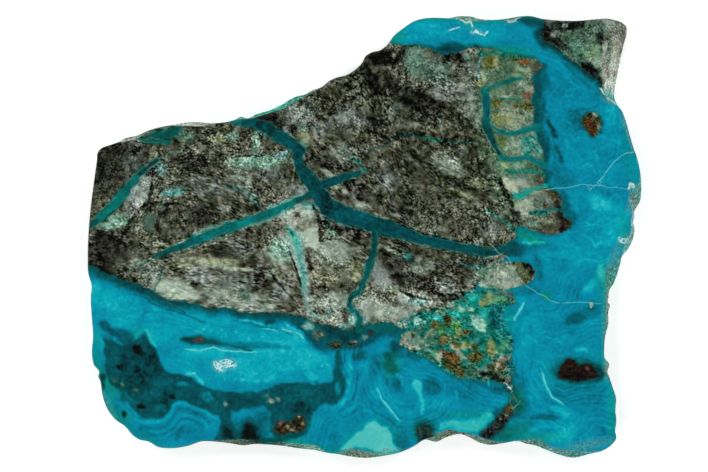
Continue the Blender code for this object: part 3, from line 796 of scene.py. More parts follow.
BRECCIA = (
    (407, 330), (400, 336), (401, 344), (407, 350), (416, 353), (425, 355), (431, 360), (440, 367),
    (450, 373), (460, 378), (471, 379), (484, 380), (495, 381), (505, 384), (511, 382), (512, 374),
    (513, 364), (512, 352), (512, 342), (508, 330), (503, 318), (505, 306), (516, 300), (512, 292),
    (498, 291), (480, 290), (468, 295), (458, 302), (446, 311), (432, 314), (420, 317), (411, 322),
)
RUBBLE = (
    ((18, 112, 98), ((460, 330, 60, 50, 0),)),
    ((20, 150, 138), ((448, 316, 20, 4, -15), (470, 300, 12, 6, 0), (484, 312, 6, 6, 0))),
    ((6, 96, 98), ((497, 316, 8, 14, 0), (511, 366, 4, 10, 0))),
    ((40, 92, 72), ((430, 340, 8, 6, 0), (468, 370, 8, 6, 0), (430, 358, 10, 4, 30))),
    ((86, 152, 116), (
        (493, 300, 14, 4.5, -3), (504, 350, 6, 7, 0), (434, 352, 6, 3, 20), (456, 322, 6, 2, -10),
    )),
    ((118, 132, 84), (
        (489, 297, 6, 3, 0), (482, 303, 5, 3, 0), (491, 348, 5, 9, -8), (455, 333, 8, 6, 0),
        (463, 345, 9, 4, 0),
    )),
    ((96, 130, 114), (
        (412, 339, 9, 8, 10), (420, 345, 8, 5, 20), (503, 371, 6, 6, 0), (484, 370, 8, 4, -20),
    )),
    ((148, 156, 138), (
        (404, 340, 3, 5, 0), (413, 334, 5, 2, -10), (418, 349, 6, 2, 20), (409, 346, 5, 2, 30),
        (425, 337, 4, 2, 0), (475, 372, 4, 2, 10),
    )),
    ((134, 186, 162), (
        (478, 322, 7, 6, 20), (481, 328, 5, 4, 0), (470, 309, 5, 3, 0), (461, 309, 4, 3, -10),
    )),
    ((150, 190, 182), (
        (425, 321.5, 3, 1.6, 0), (476, 318, 4, 2.4, 0), (417, 321, 4, 3, 0), (429, 350, 3, 1.4, 30),
    )),
    ((86, 88, 50), (
        (435, 325, 5, 4.5, 0), (447, 321, 4, 6, 20), (444, 340, 6, 6, 0), (456, 346, 6, 5, 0),
        (467, 332, 6, 3, 0),
    )),
    ((78, 136, 66), ((441, 330, 4, 3, 0), (456, 327, 4, 3, 0))),
    ((58, 66, 38), ((446, 318, 3.4, 4, 0), (497, 367, 8, 8, 0), (475, 346, 4, 4, 0))),
    ((72, 74, 36), ((452, 362, 9, 8, 25), (475, 357, 9, 6, -15), (459, 371, 5, 4, 20))),
    ((88, 60, 24), ((452, 357, 8, 4, 20),)),
    ((60, 44, 22), ((444, 355, 3, 4, 0),)),
    ((162, 172, 150), (
        (458, 352, 5, 2.6, 40), (452, 347, 3, 1.6, 40), (462, 357, 3, 2, 0), (439, 357, 3, 5, 10),
        (500, 359, 4, 1.4, -20), (497, 366, 2, 4, 30), (505, 372, 2, 4, 10),
    )),
    ((104, 90, 74), ((500, 363, 4, 3, 0), (506, 357, 3, 3, 0), (442, 351, 4, 2, 0))),
    ((20, 38, 28), (
        (489, 365, 3, 2, 0), (488, 374, 10, 3, 5), (414, 335, 2, 1.6, 0), (499, 379, 8, 3, 20),
    )),
    # where the rubble meets the rock and the blue
    ((112, 136, 112), ((450, 306, 5, 4, 0), (440, 310, 5, 4, 0), (431, 332, 4, 4, 0))),
    ((80, 126, 104), ((421, 329, 4, 4, 0),)), ((32, 125, 94), ((451, 332, 4, 4, 0),)),
    ((20, 116, 106), ((507, 352, 3, 4, 0),)), ((4, 134, 144), ((507, 331, 3, 5, 0),)),
    ((44, 84, 66), ((463, 299, 5, 3, 0), (473, 371, 5, 4, 0), (506, 374, 3, 4, 0))),
)

for mineral, rows in BLOCKS:
    for shape in rows:
        lay(rock_colour, ellipse(*shape, soft=0.35), np.array(mineral) / 255.0)
in_column = eased((depth_inside(COLUMN) + 2) / 4)
in_corner = eased((depth_inside(CORNER_ROCK) + 3) / 4)
lay(speckle, np.maximum(in_column, eased(depth_inside(PALE_LOBE) / 3)), BLOCK_SPECKLE)
lay(speckle, in_corner, CORNER_SPECKLE)
calm = spot
spot = still + RUBBLE_WOBBLE * np.column_stack([lumps(still_flat, RUBBLE_SIZE, 23, 2),
                                                lumps(still_flat, RUBBLE_SIZE, 24, 2)])
in_rubble = depth_inside(BRECCIA)
for mineral, rows in RUBBLE:
    for shape in rows:
        lay(rock_colour, ellipse(*shape, soft=0.3) * eased((in_rubble + 6) / 4), np.array(mineral) / 255.0)
spot = calm
lay(speckle, eased(in_rubble / 3), RUBBLE_SPECKLE)
rock = np.maximum(rock, in_rubble)


# Chrysocolla
# The blue mineral itself: turquoise where it is milky, deep teal where it is
# clear over dark rock. Depth of colour runs from 0, black, over 6, blue, to 12,
# white; greenness from 0 to 1. Rows: x, y, half length, half width, turn, value.
BLUE_BODIES = (
    # the band along the top
    (420, 31, 30, 9, -12, 7.2), (470, 38, 20, 7, 0, 7.0), (453, 47, 14, 4, 8, 3.2),
    (446, 50, 10, 3, 8, 2.0), (490, 32, 22, 9, 0, 6.9), (530, 22, 12, 5, 12, 2.3),
    (540, 38, 5, 12, -40, 3.4),
    # the right side, upper part
    (560, 88, 20, 16, 0, 5.6), (575, 120, 20, 15, 0, 5.2), (612, 118, 10, 14, 0, 6.9),
    (556, 172, 10, 9, 0, 5.0), (560, 182, 12, 6, 0, 4.8), (541, 82, 9, 9, 0, 3.9), (538, 92, 5, 16, 0, 3.0),
    (540, 112, 5, 14, 0, 3.4), (545, 150, 5, 16, 0, 2.9), (565, 203, 4, 12, -15, 3.4),
    (572, 216, 6, 5, 40, 3.6),
    # the right side, lower part
    (600, 205, 15, 8, 25, 8.6), (620, 215, 9, 12, 0, 7.7), (606, 222, 12, 10, 0, 7.0),
    (616, 234, 9, 9, 0, 7.6), (600, 240, 16, 7, 0, 7.2), (560, 249, 24, 9, 0, 7.2),
    (540, 247, 14, 6, 0, 5.4), (516, 250, 12, 7, 0, 3.1), (590, 257, 22, 8, 0, 7.2),
    (538, 268, 4, 14, -14, 4.0), (524, 292, 14, 4, -10, 4.4), (575, 288, 12, 9, 0, 5.3),
    (588, 287, 9, 4, -38, 8.4), (600, 271, 4, 9, 0, 9.1), (576, 318, 14, 5, -22, 3.4),
    (591, 312, 10, 6, -15, 4.6), (527, 330, 14, 12, 0, 6.9), (520, 352, 14, 14, 0, 6.8),
    (536, 372, 16, 18, 0, 6.7), (577, 371, 23, 11.5, 5, 3.0), (596, 372, 9, 7, 5, 1.0),
    (520, 384, 6, 12, 0, 4.9), (525, 402, 6, 9, 0, 4.2), (516, 410, 8, 8, 0, 3.5),
    (562, 396, 20, 11, 0, 5.3), (592, 398, 18, 12, 0, 5.2), (545, 416, 18, 4, -8, 5.0),
    (610, 402, 6, 24, 0, 6.8), (565, 412, 15, 5, 20, 7.2), (562, 434, 14, 11, -30, 8.0),
    (540, 426, 14, 5, -12, 7.2), (508, 431, 14, 7, -30, 4.2), (522, 427, 12, 6, -20, 5.2),
    (498, 418, 14, 8, -40, 2.6),
    # the middle of the bottom
    (462, 390, 12, 10, 0, 5.0), (440, 402, 12, 8, 0, 7.0), (492, 388, 16, 4, 15, 3.8),
    (470, 425, 20, 6, -8, 9.0), (432, 386, 10, 9, 20, 4.0), (398, 384, 7, 4, 45, 4.4),
    (391, 366, 8, 8, 0, 3.4), (391, 356, 9, 5, 10, 2.6), (375, 366, 6, 10, 10, 4.8),
    (381, 388, 9, 14, 20, 7.1), (355, 382, 10, 22, 0, 5.7), (360, 355, 8, 6, -20, 3.9),
    (405, 356, 12, 5, 10, 4.2), (404, 361, 8, 4, 0, 6.2), (402, 440, 8, 11, 0, 4.7),
    (425, 430, 11, 12, 0, 3.4),
    # the bottom left of the middle
    (326, 440, 15, 9, 0, 5.6), (256, 420, 20, 12, 0, 4.4), (244, 414, 9, 6, -10, 6.1),
    (186, 418, 16, 12, 0, 5.5), (160, 428, 18, 9, 0, 5.4), (190, 432, 18, 9, 0, 5.5),
    # the turquoise body on the left
    (200, 340, 120, 40, 5, 7.2), (96, 292, 6, 12, 0, 8.4), (112, 300, 18, 12, 0, 7.9),
    (160, 332, 14, 8, 0, 7.7), (172, 350, 12, 8, 0, 6.2), (280, 342, 30, 9, 3, 8.1),
    (270, 360, 46, 12, 0, 8.0), (312, 360, 16, 9, 0, 8.4), (325, 372, 9, 9, 0, 7.4),
    (205, 352, 26, 5, 0, 8.0), (250, 372, 28, 9, 0, 7.8),
    # the dark basin under the rock
    (303, 327, 10, 6, 20, 2.6), (318, 335, 16, 8, 18, 2.2), (342, 339, 24, 9, 0, 2.0),
    (366, 336, 14, 7, -22, 2.6), (386, 332, 14, 6, -5, 3.2), (322, 346, 10, 6, 10, 3.2),
    (397, 346, 7, 6, 0, 2.6), (606, 204, 4, 5, 0, 9.0),
    (514, 398, 6, 8, -20, 3.4), (507, 387, 5, 4, 20, 2.6),
)
GREEN_BODIES = (
    (395, 40, 12, 8, -45, 0.6), (430, 20, 24, 3, 0, 0.5), (495, 21, 20, 3, 0, 0.6),
    (532, 18, 12, 3, 5, 0.8), (470, 22, 10, 5, 0, 0.7), (500, 50, 30, 4, 5, 0.8),
    (525, 236, 20, 6, 15, 0.8), (602, 280, 6, 20, 0, 0.5), (604, 340, 4, 40, 0, 0.4),
    (630, 165, 6, 40, -12, 0.3), (624, 235, 6, 20, 0, 0.4), (612, 412, 5, 40, 0, 0.45),
    (520, 402, 5, 14, 0, 0.5), (510, 432, 20, 8, -20, 0.7), (538, 437, 22, 5, 0, 0.6),
    (468, 414, 30, 4, 0, 0.5), (391, 363, 9, 12, 0, 0.8), (425, 431, 12, 12, 0, 0.7),
    (375, 438, 30, 16, -10, 0.35), (320, 450, 30, 5, 5, 0.5), (290, 441, 20, 4, 5, 0.7),
    (97, 352, 6, 24, 0, 0.3), (100, 374, 6, 10, 0, 0.8), (112, 384, 12, 12, 0, 0.8),
    (108, 402, 9, 14, -30, 0.45), (122, 416, 14, 8, 40, 0.5), (146, 436, 20, 5, 28, 0.3),
    (140, 338, 12, 10, 0, 0.4), (380, 328, 20, 5, 0, 0.6), (508, 320, 7, 30, 0, 0.4),
    (578, 372, 30, 14, 0, 0.4), (546, 296, 5, 4, 30, 0.8),
    (515, 398, 8, 10, 0, 0.7),
)
# The blue is dark where it meets the rock. Rows give how far that reaches in
# pixels, how strong it is and the depth of colour at the rock.
SHORE_REACH = 5.0
SHORE_STRENGTH = 0.55
SHORE_LEVEL = 3.4
SHORES = (
    (96, 276, 14, 14, 0, 12, 1.0, 2.1), (140, 290, 34, 18, 18, 17, 1.0, 1.8),
    (185, 306, 30, 16, 14, 15, 1.0, 2.1), (230, 312, 30, 16, 3, 12, 1.0, 2.2),
    (280, 318, 34, 16, 6, 14, 1.0, 2.0), (335, 332, 40, 20, 5, 18, 1.0, 1.9),
    (385, 330, 22, 10, 0, 9, 0.9, 2.9), (405, 352, 16, 12, 30, 5, 0.7, 3.6),
    (440, 370, 34, 12, 25, 6, 0.8, 3.4), (485, 384, 24, 10, 8, 6, 0.8, 3.4),
    (515, 384, 10, 14, 0, 7, 0.9, 3.0), (505, 340, 10, 30, 0, 5, 0.5, 4.4),
    (515, 310, 14, 14, 0, 4, 0.3, 5.0), (545, 120, 16, 60, 0, 9, 1.0, 2.3),
    (545, 160, 14, 34, 0, 9, 1.0, 2.3), (545, 78, 12, 14, 0, 10, 1.0, 2.2),
    (540, 40, 10, 20, -20, 10, 1.0, 1.4), (575, 68, 40, 14, 40, 9, 1.0, 1.6),
    (510, 52, 34, 8, 12, 3, 0.8, 3.8), (455, 48, 30, 8, 3, 6, 0.8, 2.6), (400, 48, 20, 8, 0, 4, 0.5, 4.0),
    (570, 210, 14, 18, 0, 7, 0.8, 3.2), (515, 240, 24, 10, 0, 6, 0.8, 3.0),
    (545, 272, 12, 18, 0, 7, 0.5, 4.6), (520, 292, 24, 8, 0, 5, 0.7, 4.4),
)
SHORE_GREEN = 0.4
DARK_BANDS = (
    (2.5, 0.4, ((183, 339, 2), (192, 340, 4), (202, 340, 4.6), (212, 341, 3.4), (226, 343, 1.8))),
    (3.0, 0.3, ((198, 340, 2), (214, 342, 2), (232, 346, 1.6), (250, 350, 0.8))),
    (4.6, 0.3, ((225, 344, 2), (242, 346, 2.6), (262, 346, 2), (280, 346, 1.6))),
    (5.4, 0.2, ((205, 334, 1), (220, 340, 1.4), (240, 344, 1.4), (262, 343, 1.2), (290, 348, 1))),
    (0.6, 0.2, ((547, 120, 1), (549, 125, 1.6), (552, 130, 1.4), (555, 137, 1.6))),
    (1.6, 0.3, ((556, 147, 1.4), (558, 152, 1.6))), (1.8, 0.3, ((560, 157, 1.6), (561, 162, 1.2))),
    (4.4, 0.1, ((545, 141, 1), (553, 144, 1.6), (554, 160, 1.6), (551, 172, 1.4))),
    (4.4, 0.1, ((563, 64, 1.4), (580, 80, 1.6), (596, 92, 1.4))),
    (4.8, 0.1, ((150, 300, 0.6), (146, 310, 0.8), (141, 324, 0.6))),
    (5.6, 0.1, ((132, 292, 0.8), (146, 298, 0.8), (158, 304, 0.8), (172, 310, 0.8), (190, 316, 0.8),
                (203, 322, 0.8))),
    (3.6, 0.3, ((238, 320, 0.6), (252, 324, 0.8), (264, 328, 0.6))),
    (1.6, 0.4, ((268, 322, 2.4), (273, 321, 2))),
    (2.0, 0.6, ((241, 440, 2), (262, 441, 2), (284, 439, 2), (302, 432, 3), (308, 420, 3))),
    (4.2, 0.2, ((240, 424, 1.6), (246, 419, 1.8), (254, 419, 1.8), (262, 426, 2), (266, 434, 2))),
    (4.9, 0.1, ((384, 375, 1.6), (388, 384, 2), (396, 392, 1.6))),
    (4.4, 0.1, ((555, 385, 1.2), (575, 388, 1.4), (598, 384, 1.2))),
)
BAND_FADE = 2.4
# Bodies with a crisp edge: depth, greenness and outline. The first is the dark corner.
TRACED_BODIES = (
    (2.9, 0.2, ((104, 336), (112, 338), (122, 344), (132, 342), (142, 335), (147.6, 333), (151, 341), (156, 347), (160, 354),
                (162, 364), (167, 371), (177, 374), (187, 376), (195, 380), (202, 385), (212, 388), (226, 391), (240, 392),
                (256, 391), (267, 389), (276, 385), (288, 382), (302, 384), (316, 383), (333, 383), (334.6, 372),
                (335.6, 362), (336, 350), (341, 350), (341, 362), (340.6, 371), (345, 377), (347, 386), (344, 395),
                (337, 403), (326, 404), (318, 407), (312, 411), (311.6, 425), (306, 431), (292, 434), (276, 437),
                (270, 430), (271, 411), (263, 404.6), (252, 408), (233, 411), (233, 420), (237, 428), (242, 428),
                (246, 421), (251, 419), (256, 422), (260, 430), (266, 441), (214, 441), (219, 430), (221, 420),
                (219, 415), (212, 415), (207, 411), (196, 406), (186, 402), (178, 400.6), (173, 404), (170.6, 411),
                (165, 417), (156, 419), (146, 418.6), (138, 416), (132, 409), (129, 400), (122, 390), (112, 384),
                (106, 374), (107, 360), (106, 346))),
    (9.8, 0.3, ((340, 450), (343, 443), (348, 438), (356, 434), (361, 430), (366, 423), (371, 420),
                (377, 420), (381, 424), (386, 426), (389, 431), (393, 437), (394, 444), (397, 450),
                (388, 453), (376, 452), (366, 448), (356, 446), (349, 449))),
    (8.9, 0.35, ((440, 422), (452, 420), (466, 424), (476, 420), (482, 414), (490, 413), (494, 418),
                 (488, 428), (478, 433), (464, 430), (452, 427), (444, 428), (438, 427))),
    (9.3, 0.1, ((413, 379), (418, 379), (422, 383), (422, 394), (423, 404), (424, 413), (422, 414),
                (420, 404), (418, 396), (414, 390), (411, 384))),
)
# What lies in the dark corner, painted over it: ellipses and depth.
CORNER_DEPTHS = (
    (106, 326, 7, 4, 20, 3.7), (119, 332, 13, 5, 10, 3.2), (126, 338, 8, 5, 10, 3.0),
    (130, 366, 22, 20, 10, 2.1), (152, 356, 7, 12, -15, 1.5), (152, 370, 9, 8, 0, 1.6),
    (138, 384, 16, 8, 0, 2.0), (166, 398, 9, 6, -20, 1.7), (182, 378, 14, 3, 12, 2.2),
    (245, 399, 22, 5, 0, 2.4), (300, 408, 12, 7, 0, 1.6), (290, 434, 16, 3, -5, 1.8),
    (228, 434, 7, 8, 0, 1.2), (114, 366, 6, 10, 0, 3.2), (183, 384, 6, 2.4, -5, 5.4),
    (208, 397, 6, 5, 10, 5.0), (338, 388, 3, 6, 0, 5.8), (160, 410, 8, 2.4, 5, 4.0),
    (126, 396, 4, 5, 0, 3.4), (137, 349, 6, 4, 15, 0.3), (142, 354, 3, 3, 0, 0.5),
    (124, 357, 4, 2.4, 30, 0.6), (121, 366, 4, 3, 0, 0.5), (137, 369, 4, 4, 0, 0.3),
    (147, 360, 3.4, 6, -10, 0.9), (174, 395, 2.4, 4, 15, 0.6), (141, 406, 4.6, 2.6, -15, 0.5),
    (124, 414, 2.6, 3.4, 0, 0.9), (133, 391, 5, 3.4, 0, 0.9), (103, 378, 3, 5, 0, 1.6),
    (102, 386, 3, 4, 0, 2.0), (107, 342, 6, 2.4, 40, 2.4), (250, 436, 15, 15, 0, 2.4),
    (250.5, 436, 8.6, 14, 0, 0.1),
)
WISPS = (
    (8.6, 0.8, ((376, 386), (379, 395), (385, 404), (392, 412), (400, 422))),
    (7.8, 0.6, ((362, 404), (366, 410), (371, 412))), (7.6, 0.7, ((396, 374), (402, 378), (403, 384))),
    (7.9, 0.7, ((456, 390), (457, 395), (455, 399))),
    (8.7, 0.9, ((541, 371), (544, 379), (547, 388), (551, 396), (560, 404))),
    (8.4, 2.4, ((552, 408), (560, 410), (567, 414))),
    (7.4, 0.8, ((529, 396), (532, 406), (538, 411), (546, 412))),
    (9.0, 1.7, ((576, 349), (583, 349), (586, 350))),
    (9.2, 0.7, ((589, 238), (592, 243), (595, 247), (599, 242))),
    (8.8, 0.7, ((588, 219), (592, 216), (597, 214))),
    (8.6, 0.8, ((585, 221), (588, 224), (594, 225), (598, 220))),
    (9.8, 0.8, ((514, 318), (517, 313), (520, 309), (523, 304))),
    (8.8, 0.5, ((505, 320), (509, 319), (513, 318))),
    (9.4, 1.0, ((148, 330), (150, 336), (153, 342), (156, 346))),
    (9.2, 0.5, ((187, 349), (198, 350), (210, 349))),
    (8.8, 0.5, ((214, 348), (226, 350), (238, 351), (256, 352))),
    (9.4, 0.7, ((197, 332), (201, 332), (205, 328))),
    (9.6, 1.3, ((187, 373), (194, 374), (199, 377), (203, 383))),
    (9.0, 0.6, ((240, 320), (250, 321), (262, 325))),
    (9.0, 0.6, ((262, 328), (272, 329), (284, 331), (296, 333), (304, 336))),
    (9.2, 0.5, ((286, 323), (292, 328), (300, 332))), (9.4, 0.8, ((347, 378), (349, 382))),
    (8.6, 1.4, ((154, 306), (158, 309))), (9.6, 0.8, ((545, 242), (522, 243))),
    (9.8, 0.6, ((487, 380), (488, 384))), (4.4, 1.4, ((104, 336), (112, 338))),
    (4.6, 0.7, ((127, 394), (131, 399), (137, 402))), (3.6, 1.0, ((316, 378), (320, 395), (318, 403))),
    (9.0, 0.6, ((245, 320), (250, 321), (257, 321), (263, 325))),
    (9.0, 0.7, ((287, 324), (290, 328), (296, 329))), (9.0, 0.7, ((299, 330), (303, 335), (304, 341))),
    (8.6, 2.2, ((266, 380), (273, 377))), (8.4, 2.4, ((246, 378), (256, 380))),
    (8.6, 2.6, ((308, 374), (316, 378))),
)
# Bands that follow each other's shape: depth added, half width, line.
CONTOURS = (
    (1.8, 1.2, ((141, 421), (150, 421.6), (158, 421.4), (164, 418.6), (169, 415.4), (171.6, 411),
                (172.6, 406.6), (176, 403.4), (182, 402), (188, 404), (194, 406.6), (201, 409.4), (206, 411),
                (209.6, 414), (218, 417))),
    (-1.3, 0.7, ((138, 426.6), (148, 427.4), (158, 427.8), (165, 426.2), (170, 422.6), (173.4, 417),
                 (176, 411.6), (180.6, 408), (187, 408.8), (194, 412), (201, 414.4), (206, 418),
                 (210, 422))),
    (1.3, 0.8, ((150, 431), (158, 431.6), (165, 430.2), (171, 427), (175.6, 422), (178.6, 416.6),
                (183, 413.4), (188, 414.6), (195, 417), (202, 420), (206.6, 424), (209, 429))),
    (-1.0, 0.7, ((150, 434.4), (160, 434.6), (168, 431.6), (174, 427.6), (178.4, 421.6), (183, 417.6),
                 (190, 418.2), (197, 420.8), (202, 425))),
    (0.9, 0.8, ((156, 437.6), (163, 436.8), (171, 433), (177, 428), (182, 422.6), (188, 421), (195, 424.6),
                (200, 430))),
    (-0.9, 2.0, ((177, 438), (179, 433), (182, 428.4))),
    (1.4, 1.4, ((340, 404), (346, 397), (349, 389), (351, 380), (350, 370), (350, 361))),
    (-1.2, 0.8, ((338, 410), (345, 408), (351, 403), (354, 394), (356, 385), (357, 377))),
    (1.1, 0.9, ((340, 413), (349, 410), (355, 403), (358, 394), (360, 385), (363, 377), (367, 370))),
    (-0.9, 0.8, ((345, 417), (353, 413), (359, 406), (362, 398), (364, 390))),
    (0.6, 1.2, ((340, 421), (352, 416), (362, 410))), (0.9, 2.0, ((348, 367), (358, 367), (366, 363))),
    (-0.7, 1.2, ((362, 414), (370, 411), (378, 412), (386, 417), (394, 421))),
    (0.9, 0.9, ((389, 395), (395, 400), (401, 403), (407, 403))),
    (-0.9, 1.6, ((390, 377), (393, 384), (398, 390), (404, 393))), (-0.9, 3.0, ((406, 404), (413, 405))),
    (-0.8, 3.0, ((374, 402), (381, 406))), (0.6, 1.4, ((440, 404), (455, 396))),
    (0.9, 0.8, ((528, 336), (534, 341), (541, 346), (550, 349))), (-1.0, 1.0, ((529, 322), (530, 335))),
    (0.8, 0.6, ((556, 335), (565, 336), (574, 335), (583, 330), (590, 325), (597, 320))),
    (0.6, 0.8, ((553, 342), (564, 342), (575, 341), (588, 337))),
    (0.6, 0.9, ((532, 384), (534, 391), (540, 404))), (0.7, 0.7, ((578, 393), (588, 391), (598, 390))),
    (-0.8, 0.9, ((588, 396), (600, 395), (611, 396))), (0.6, 0.8, ((586, 400), (600, 398), (611, 400))),
    (-0.7, 0.9, ((580, 404), (598, 403), (611, 405))),
    (0.6, 0.8, ((572, 408), (586, 407), (600, 406), (611, 409))),
    (-0.7, 1.0, ((570, 416), (586, 413), (612, 414))),
    (0.7, 1.2, ((588, 419), (598, 419), (605, 422), (610, 429))),
    (-0.9, 2.0, ((592, 424), (600, 427), (604, 432))),
    (-0.7, 1.4, ((520, 417), (534, 416), (548, 415), (556, 417))),
    (0.7, 1.6, ((530, 429), (542, 426), (553, 425))),
    (-0.8, 1.4, ((532, 433), (545, 430), (556, 430), (562, 427), (566, 421))),
    (0.7, 0.6, ((572, 150), (580, 158), (588, 166), (594, 170))),
)
# Small milky flecks: x, y, half length, half width, turn, how many.
FLECKS = (
    (150, 300, 40, 12, 20, 0.5), (260, 332, 50, 12, 3, 1.0), (300, 350, 24, 20, 0, 0.8),
    (120, 308, 30, 14, 10, 0.5), (255, 374, 50, 7, -5, 0.9), (195, 376, 16, 6, 30, 0.9),
    (326, 365, 8, 16, 0, 1.0), (560, 85, 16, 20, 0, 0.6), (600, 140, 26, 40, 0, 0.5),
    (590, 230, 26, 20, 0, 0.7), (440, 30, 50, 8, 0, 0.3), (400, 395, 30, 16, 0, 0.3),
    (470, 415, 30, 8, 0, 0.7), (520, 240, 24, 6, 0, 0.8), (540, 330, 30, 14, 0, 0.3),
    (215, 394, 20, 6, 0, 0.6), (300, 394, 30, 8, 0, 0.5), (590, 200, 30, 12, 0, 0.4),
    (575, 425, 30, 12, 0, 0.4), (160, 385, 30, 20, 20, 0.4), (240, 352, 60, 6, 2, 0.4),
)
BLUE_WOBBLE = 2.2
BLUE_WOBBLE_SIZE = 14.0
# Fine bands, like an agate's: guide lines, with the spacing of the bands in
# pixels, their strength, and how far from the guide they reach.
BAND_GUIDES = (
    (4.4, 0.28, 26, ((538, 372), (548, 392), (562, 398), (580, 392), (600, 391), (616, 380))),
    (4.2, 0.24, 20, ((548, 336), (562, 340), (578, 336), (590, 328), (604, 326))),
    (4.6, 0.18, 20, ((528, 318), (542, 318), (556, 312), (568, 300), (572, 282))),
    (5.0, 0.22, 20, ((580, 440), (590, 424), (604, 422), (616, 426))),
    (4.6, 0.2, 19, ((352, 352), (357, 375), (352, 398), (340, 411), (326, 418), (319, 434), (318, 446))),
    (4.4, 0.24, 24, ((370, 372), (372, 388), (380, 402), (392, 414), (404, 420), (420, 418), (436, 410),
                     (448, 398))),
    (4.6, 0.26, 18, ((404, 366), (420, 372), (436, 374), (446, 384), (447, 396))),
    (4.6, 0.26, 16, ((460, 380), (470, 390), (484, 397), (504, 401))),
    (3.6, 0.16, 12, ((536, 420), (552, 421), (566, 428))),
    (5.0, 0.1, 20, ((556, 100), (572, 110), (590, 104), (610, 112))),
    (4.6, 0.1, 22, ((562, 150), (580, 158), (600, 150), (622, 154))),
    (4.6, 0.1, 20, ((566, 200), (580, 208), (588, 222), (600, 232), (618, 228))),
    (4.6, 0.16, 18, ((545, 256), (560, 262), (580, 264), (600, 256))),
    (4.0, 0.14, 10, ((540, 54), (560, 64), (580, 78), (596, 90))),
    (4.6, 0.08, 14, ((400, 36), (430, 36), (470, 42), (500, 42), (530, 50))),
    (3.4, 0.1, 12, ((130, 300), (170, 316), (210, 326), (250, 330), (300, 338))),
    (4.0, 0.06, 16, ((170, 360), (220, 380), (270, 378), (320, 370))),
)
# Where the bands curl into each other: x, y, half length, half width, turn, how much.
SWIRLS = (
    (592, 120, 46, 60, 0, 1.0), (604, 200, 36, 34, 0, 0.9), (590, 245, 40, 24, 0, 0.7),
    (440, 34, 90, 12, 0, 0.7), (540, 330, 34, 30, 0, 0.5), (560, 430, 46, 18, 0, 0.3),
    (400, 350, 20, 14, 0, 0.5), (150, 400, 50, 30, 0, 0.6), (290, 350, 90, 26, 0, 0.6),
    (130, 310, 50, 20, 0, 0.6),
)
SWIRL_STRENGTH = 0.17

calm = spot
spot = still + BLUE_WOBBLE * np.column_stack([lumps(still_flat, BLUE_WOBBLE_SIZE, 31, 2),
                                              lumps(still_flat, BLUE_WOBBLE_SIZE, 32, 2)])
depth_of_blue = np.full(len(spot), 6.1)
greenness = np.zeros(len(spot))
for *shape, level in BLUE_BODIES:
    lay(depth_of_blue, ellipse(*shape, soft=0.55), level)
for *shape, share in GREEN_BODIES:
    lay(greenness, ellipse(*shape, soft=0.6), share)
shore_reach = np.full(len(spot), SHORE_REACH)
shore_strength = np.full(len(spot), SHORE_STRENGTH)
shore_level = np.full(len(spot), SHORE_LEVEL)
for *shape, reach, strength, level in SHORES:
    cover = ellipse(*shape, soft=0.5)
    lay(shore_reach, cover, reach)
    lay(shore_strength, cover, strength)
    lay(shore_level, cover, level)
near_rock = eased(1 + rock / shore_reach)
lay(depth_of_blue, near_rock * shore_strength, shore_level)
lay(greenness, near_rock * shore_strength * 0.8, SHORE_GREEN)
for level, share, outline_of_body in TRACED_BODIES:
    cover = eased((depth_inside(outline_of_body) + 1.5) / 3.0)
    lay(depth_of_blue, cover, level)
    lay(greenness, cover, share)
for *shape, level in CORNER_DEPTHS:
    lay(depth_of_blue, ellipse(*shape, soft=0.45), level)
spot = calm
for level, share, line in DARK_BANDS:
    cover = eased((BAND_FADE - gap_to(line)) / (2 * BAND_FADE))
    lay(depth_of_blue, cover, level)
    lay(greenness, cover, share)
for level, half, line in WISPS:
    lay(depth_of_blue, eased((1.4 - gap_to(line, half)) / 2.0) * 0.85, level)
for added, half, line in CONTOURS:
    depth_of_blue += eased((1.6 - gap_to(line, half)) / 2.4) * added

flecks = np.zeros(len(spot))
for *shape, amount in FLECKS:
    lay(flecks, ellipse(*shape, soft=0.5), amount)

band_way = np.zeros(len(spot))
band_strength = np.zeros(len(spot))
band_rank = np.zeros(len(spot))
bent = still + 3.0 * np.column_stack([lumps(still_flat, 22.0, 41, 2), lumps(still_flat, 22.0, 42, 2)])
for spacing, strength, reach, guide in BAND_GUIDES:
    guide = np.array(guide, dtype=float)
    least = np.full(len(spot), 1e6)
    side = np.zeros(len(spot))
    for start, end in zip(guide, guide[1:]):
        way = end - start
        share = np.clip(((bent - start) @ way) / (way @ way), 0, 1)
        offset = bent - start - share[:, None] * way
        length = np.linalg.norm(offset, axis=1)
        closer = length < least
        least = np.where(closer, length, least)
        side = np.where(closer, np.sign(way[0] * offset[:, 1] - way[1] * offset[:, 0]), side)
    rank = np.clip(1 - least / reach, 0, 1)
    winner = rank > band_rank
    band_strength = np.where(winner, strength * eased((rank - band_rank) * 3), np.minimum(band_strength, strength * 3 * (band_rank - rank) + 0.02))
    band_way = np.where(winner, side * least / spacing, band_way)
    band_rank = np.maximum(rank, band_rank)
swirl = np.zeros(len(spot))
for *shape, curl in SWIRLS:
    lay(swirl, ellipse(*shape, soft=0.5), curl)
band_strength = np.maximum(band_strength, swirl * SWIRL_STRENGTH)
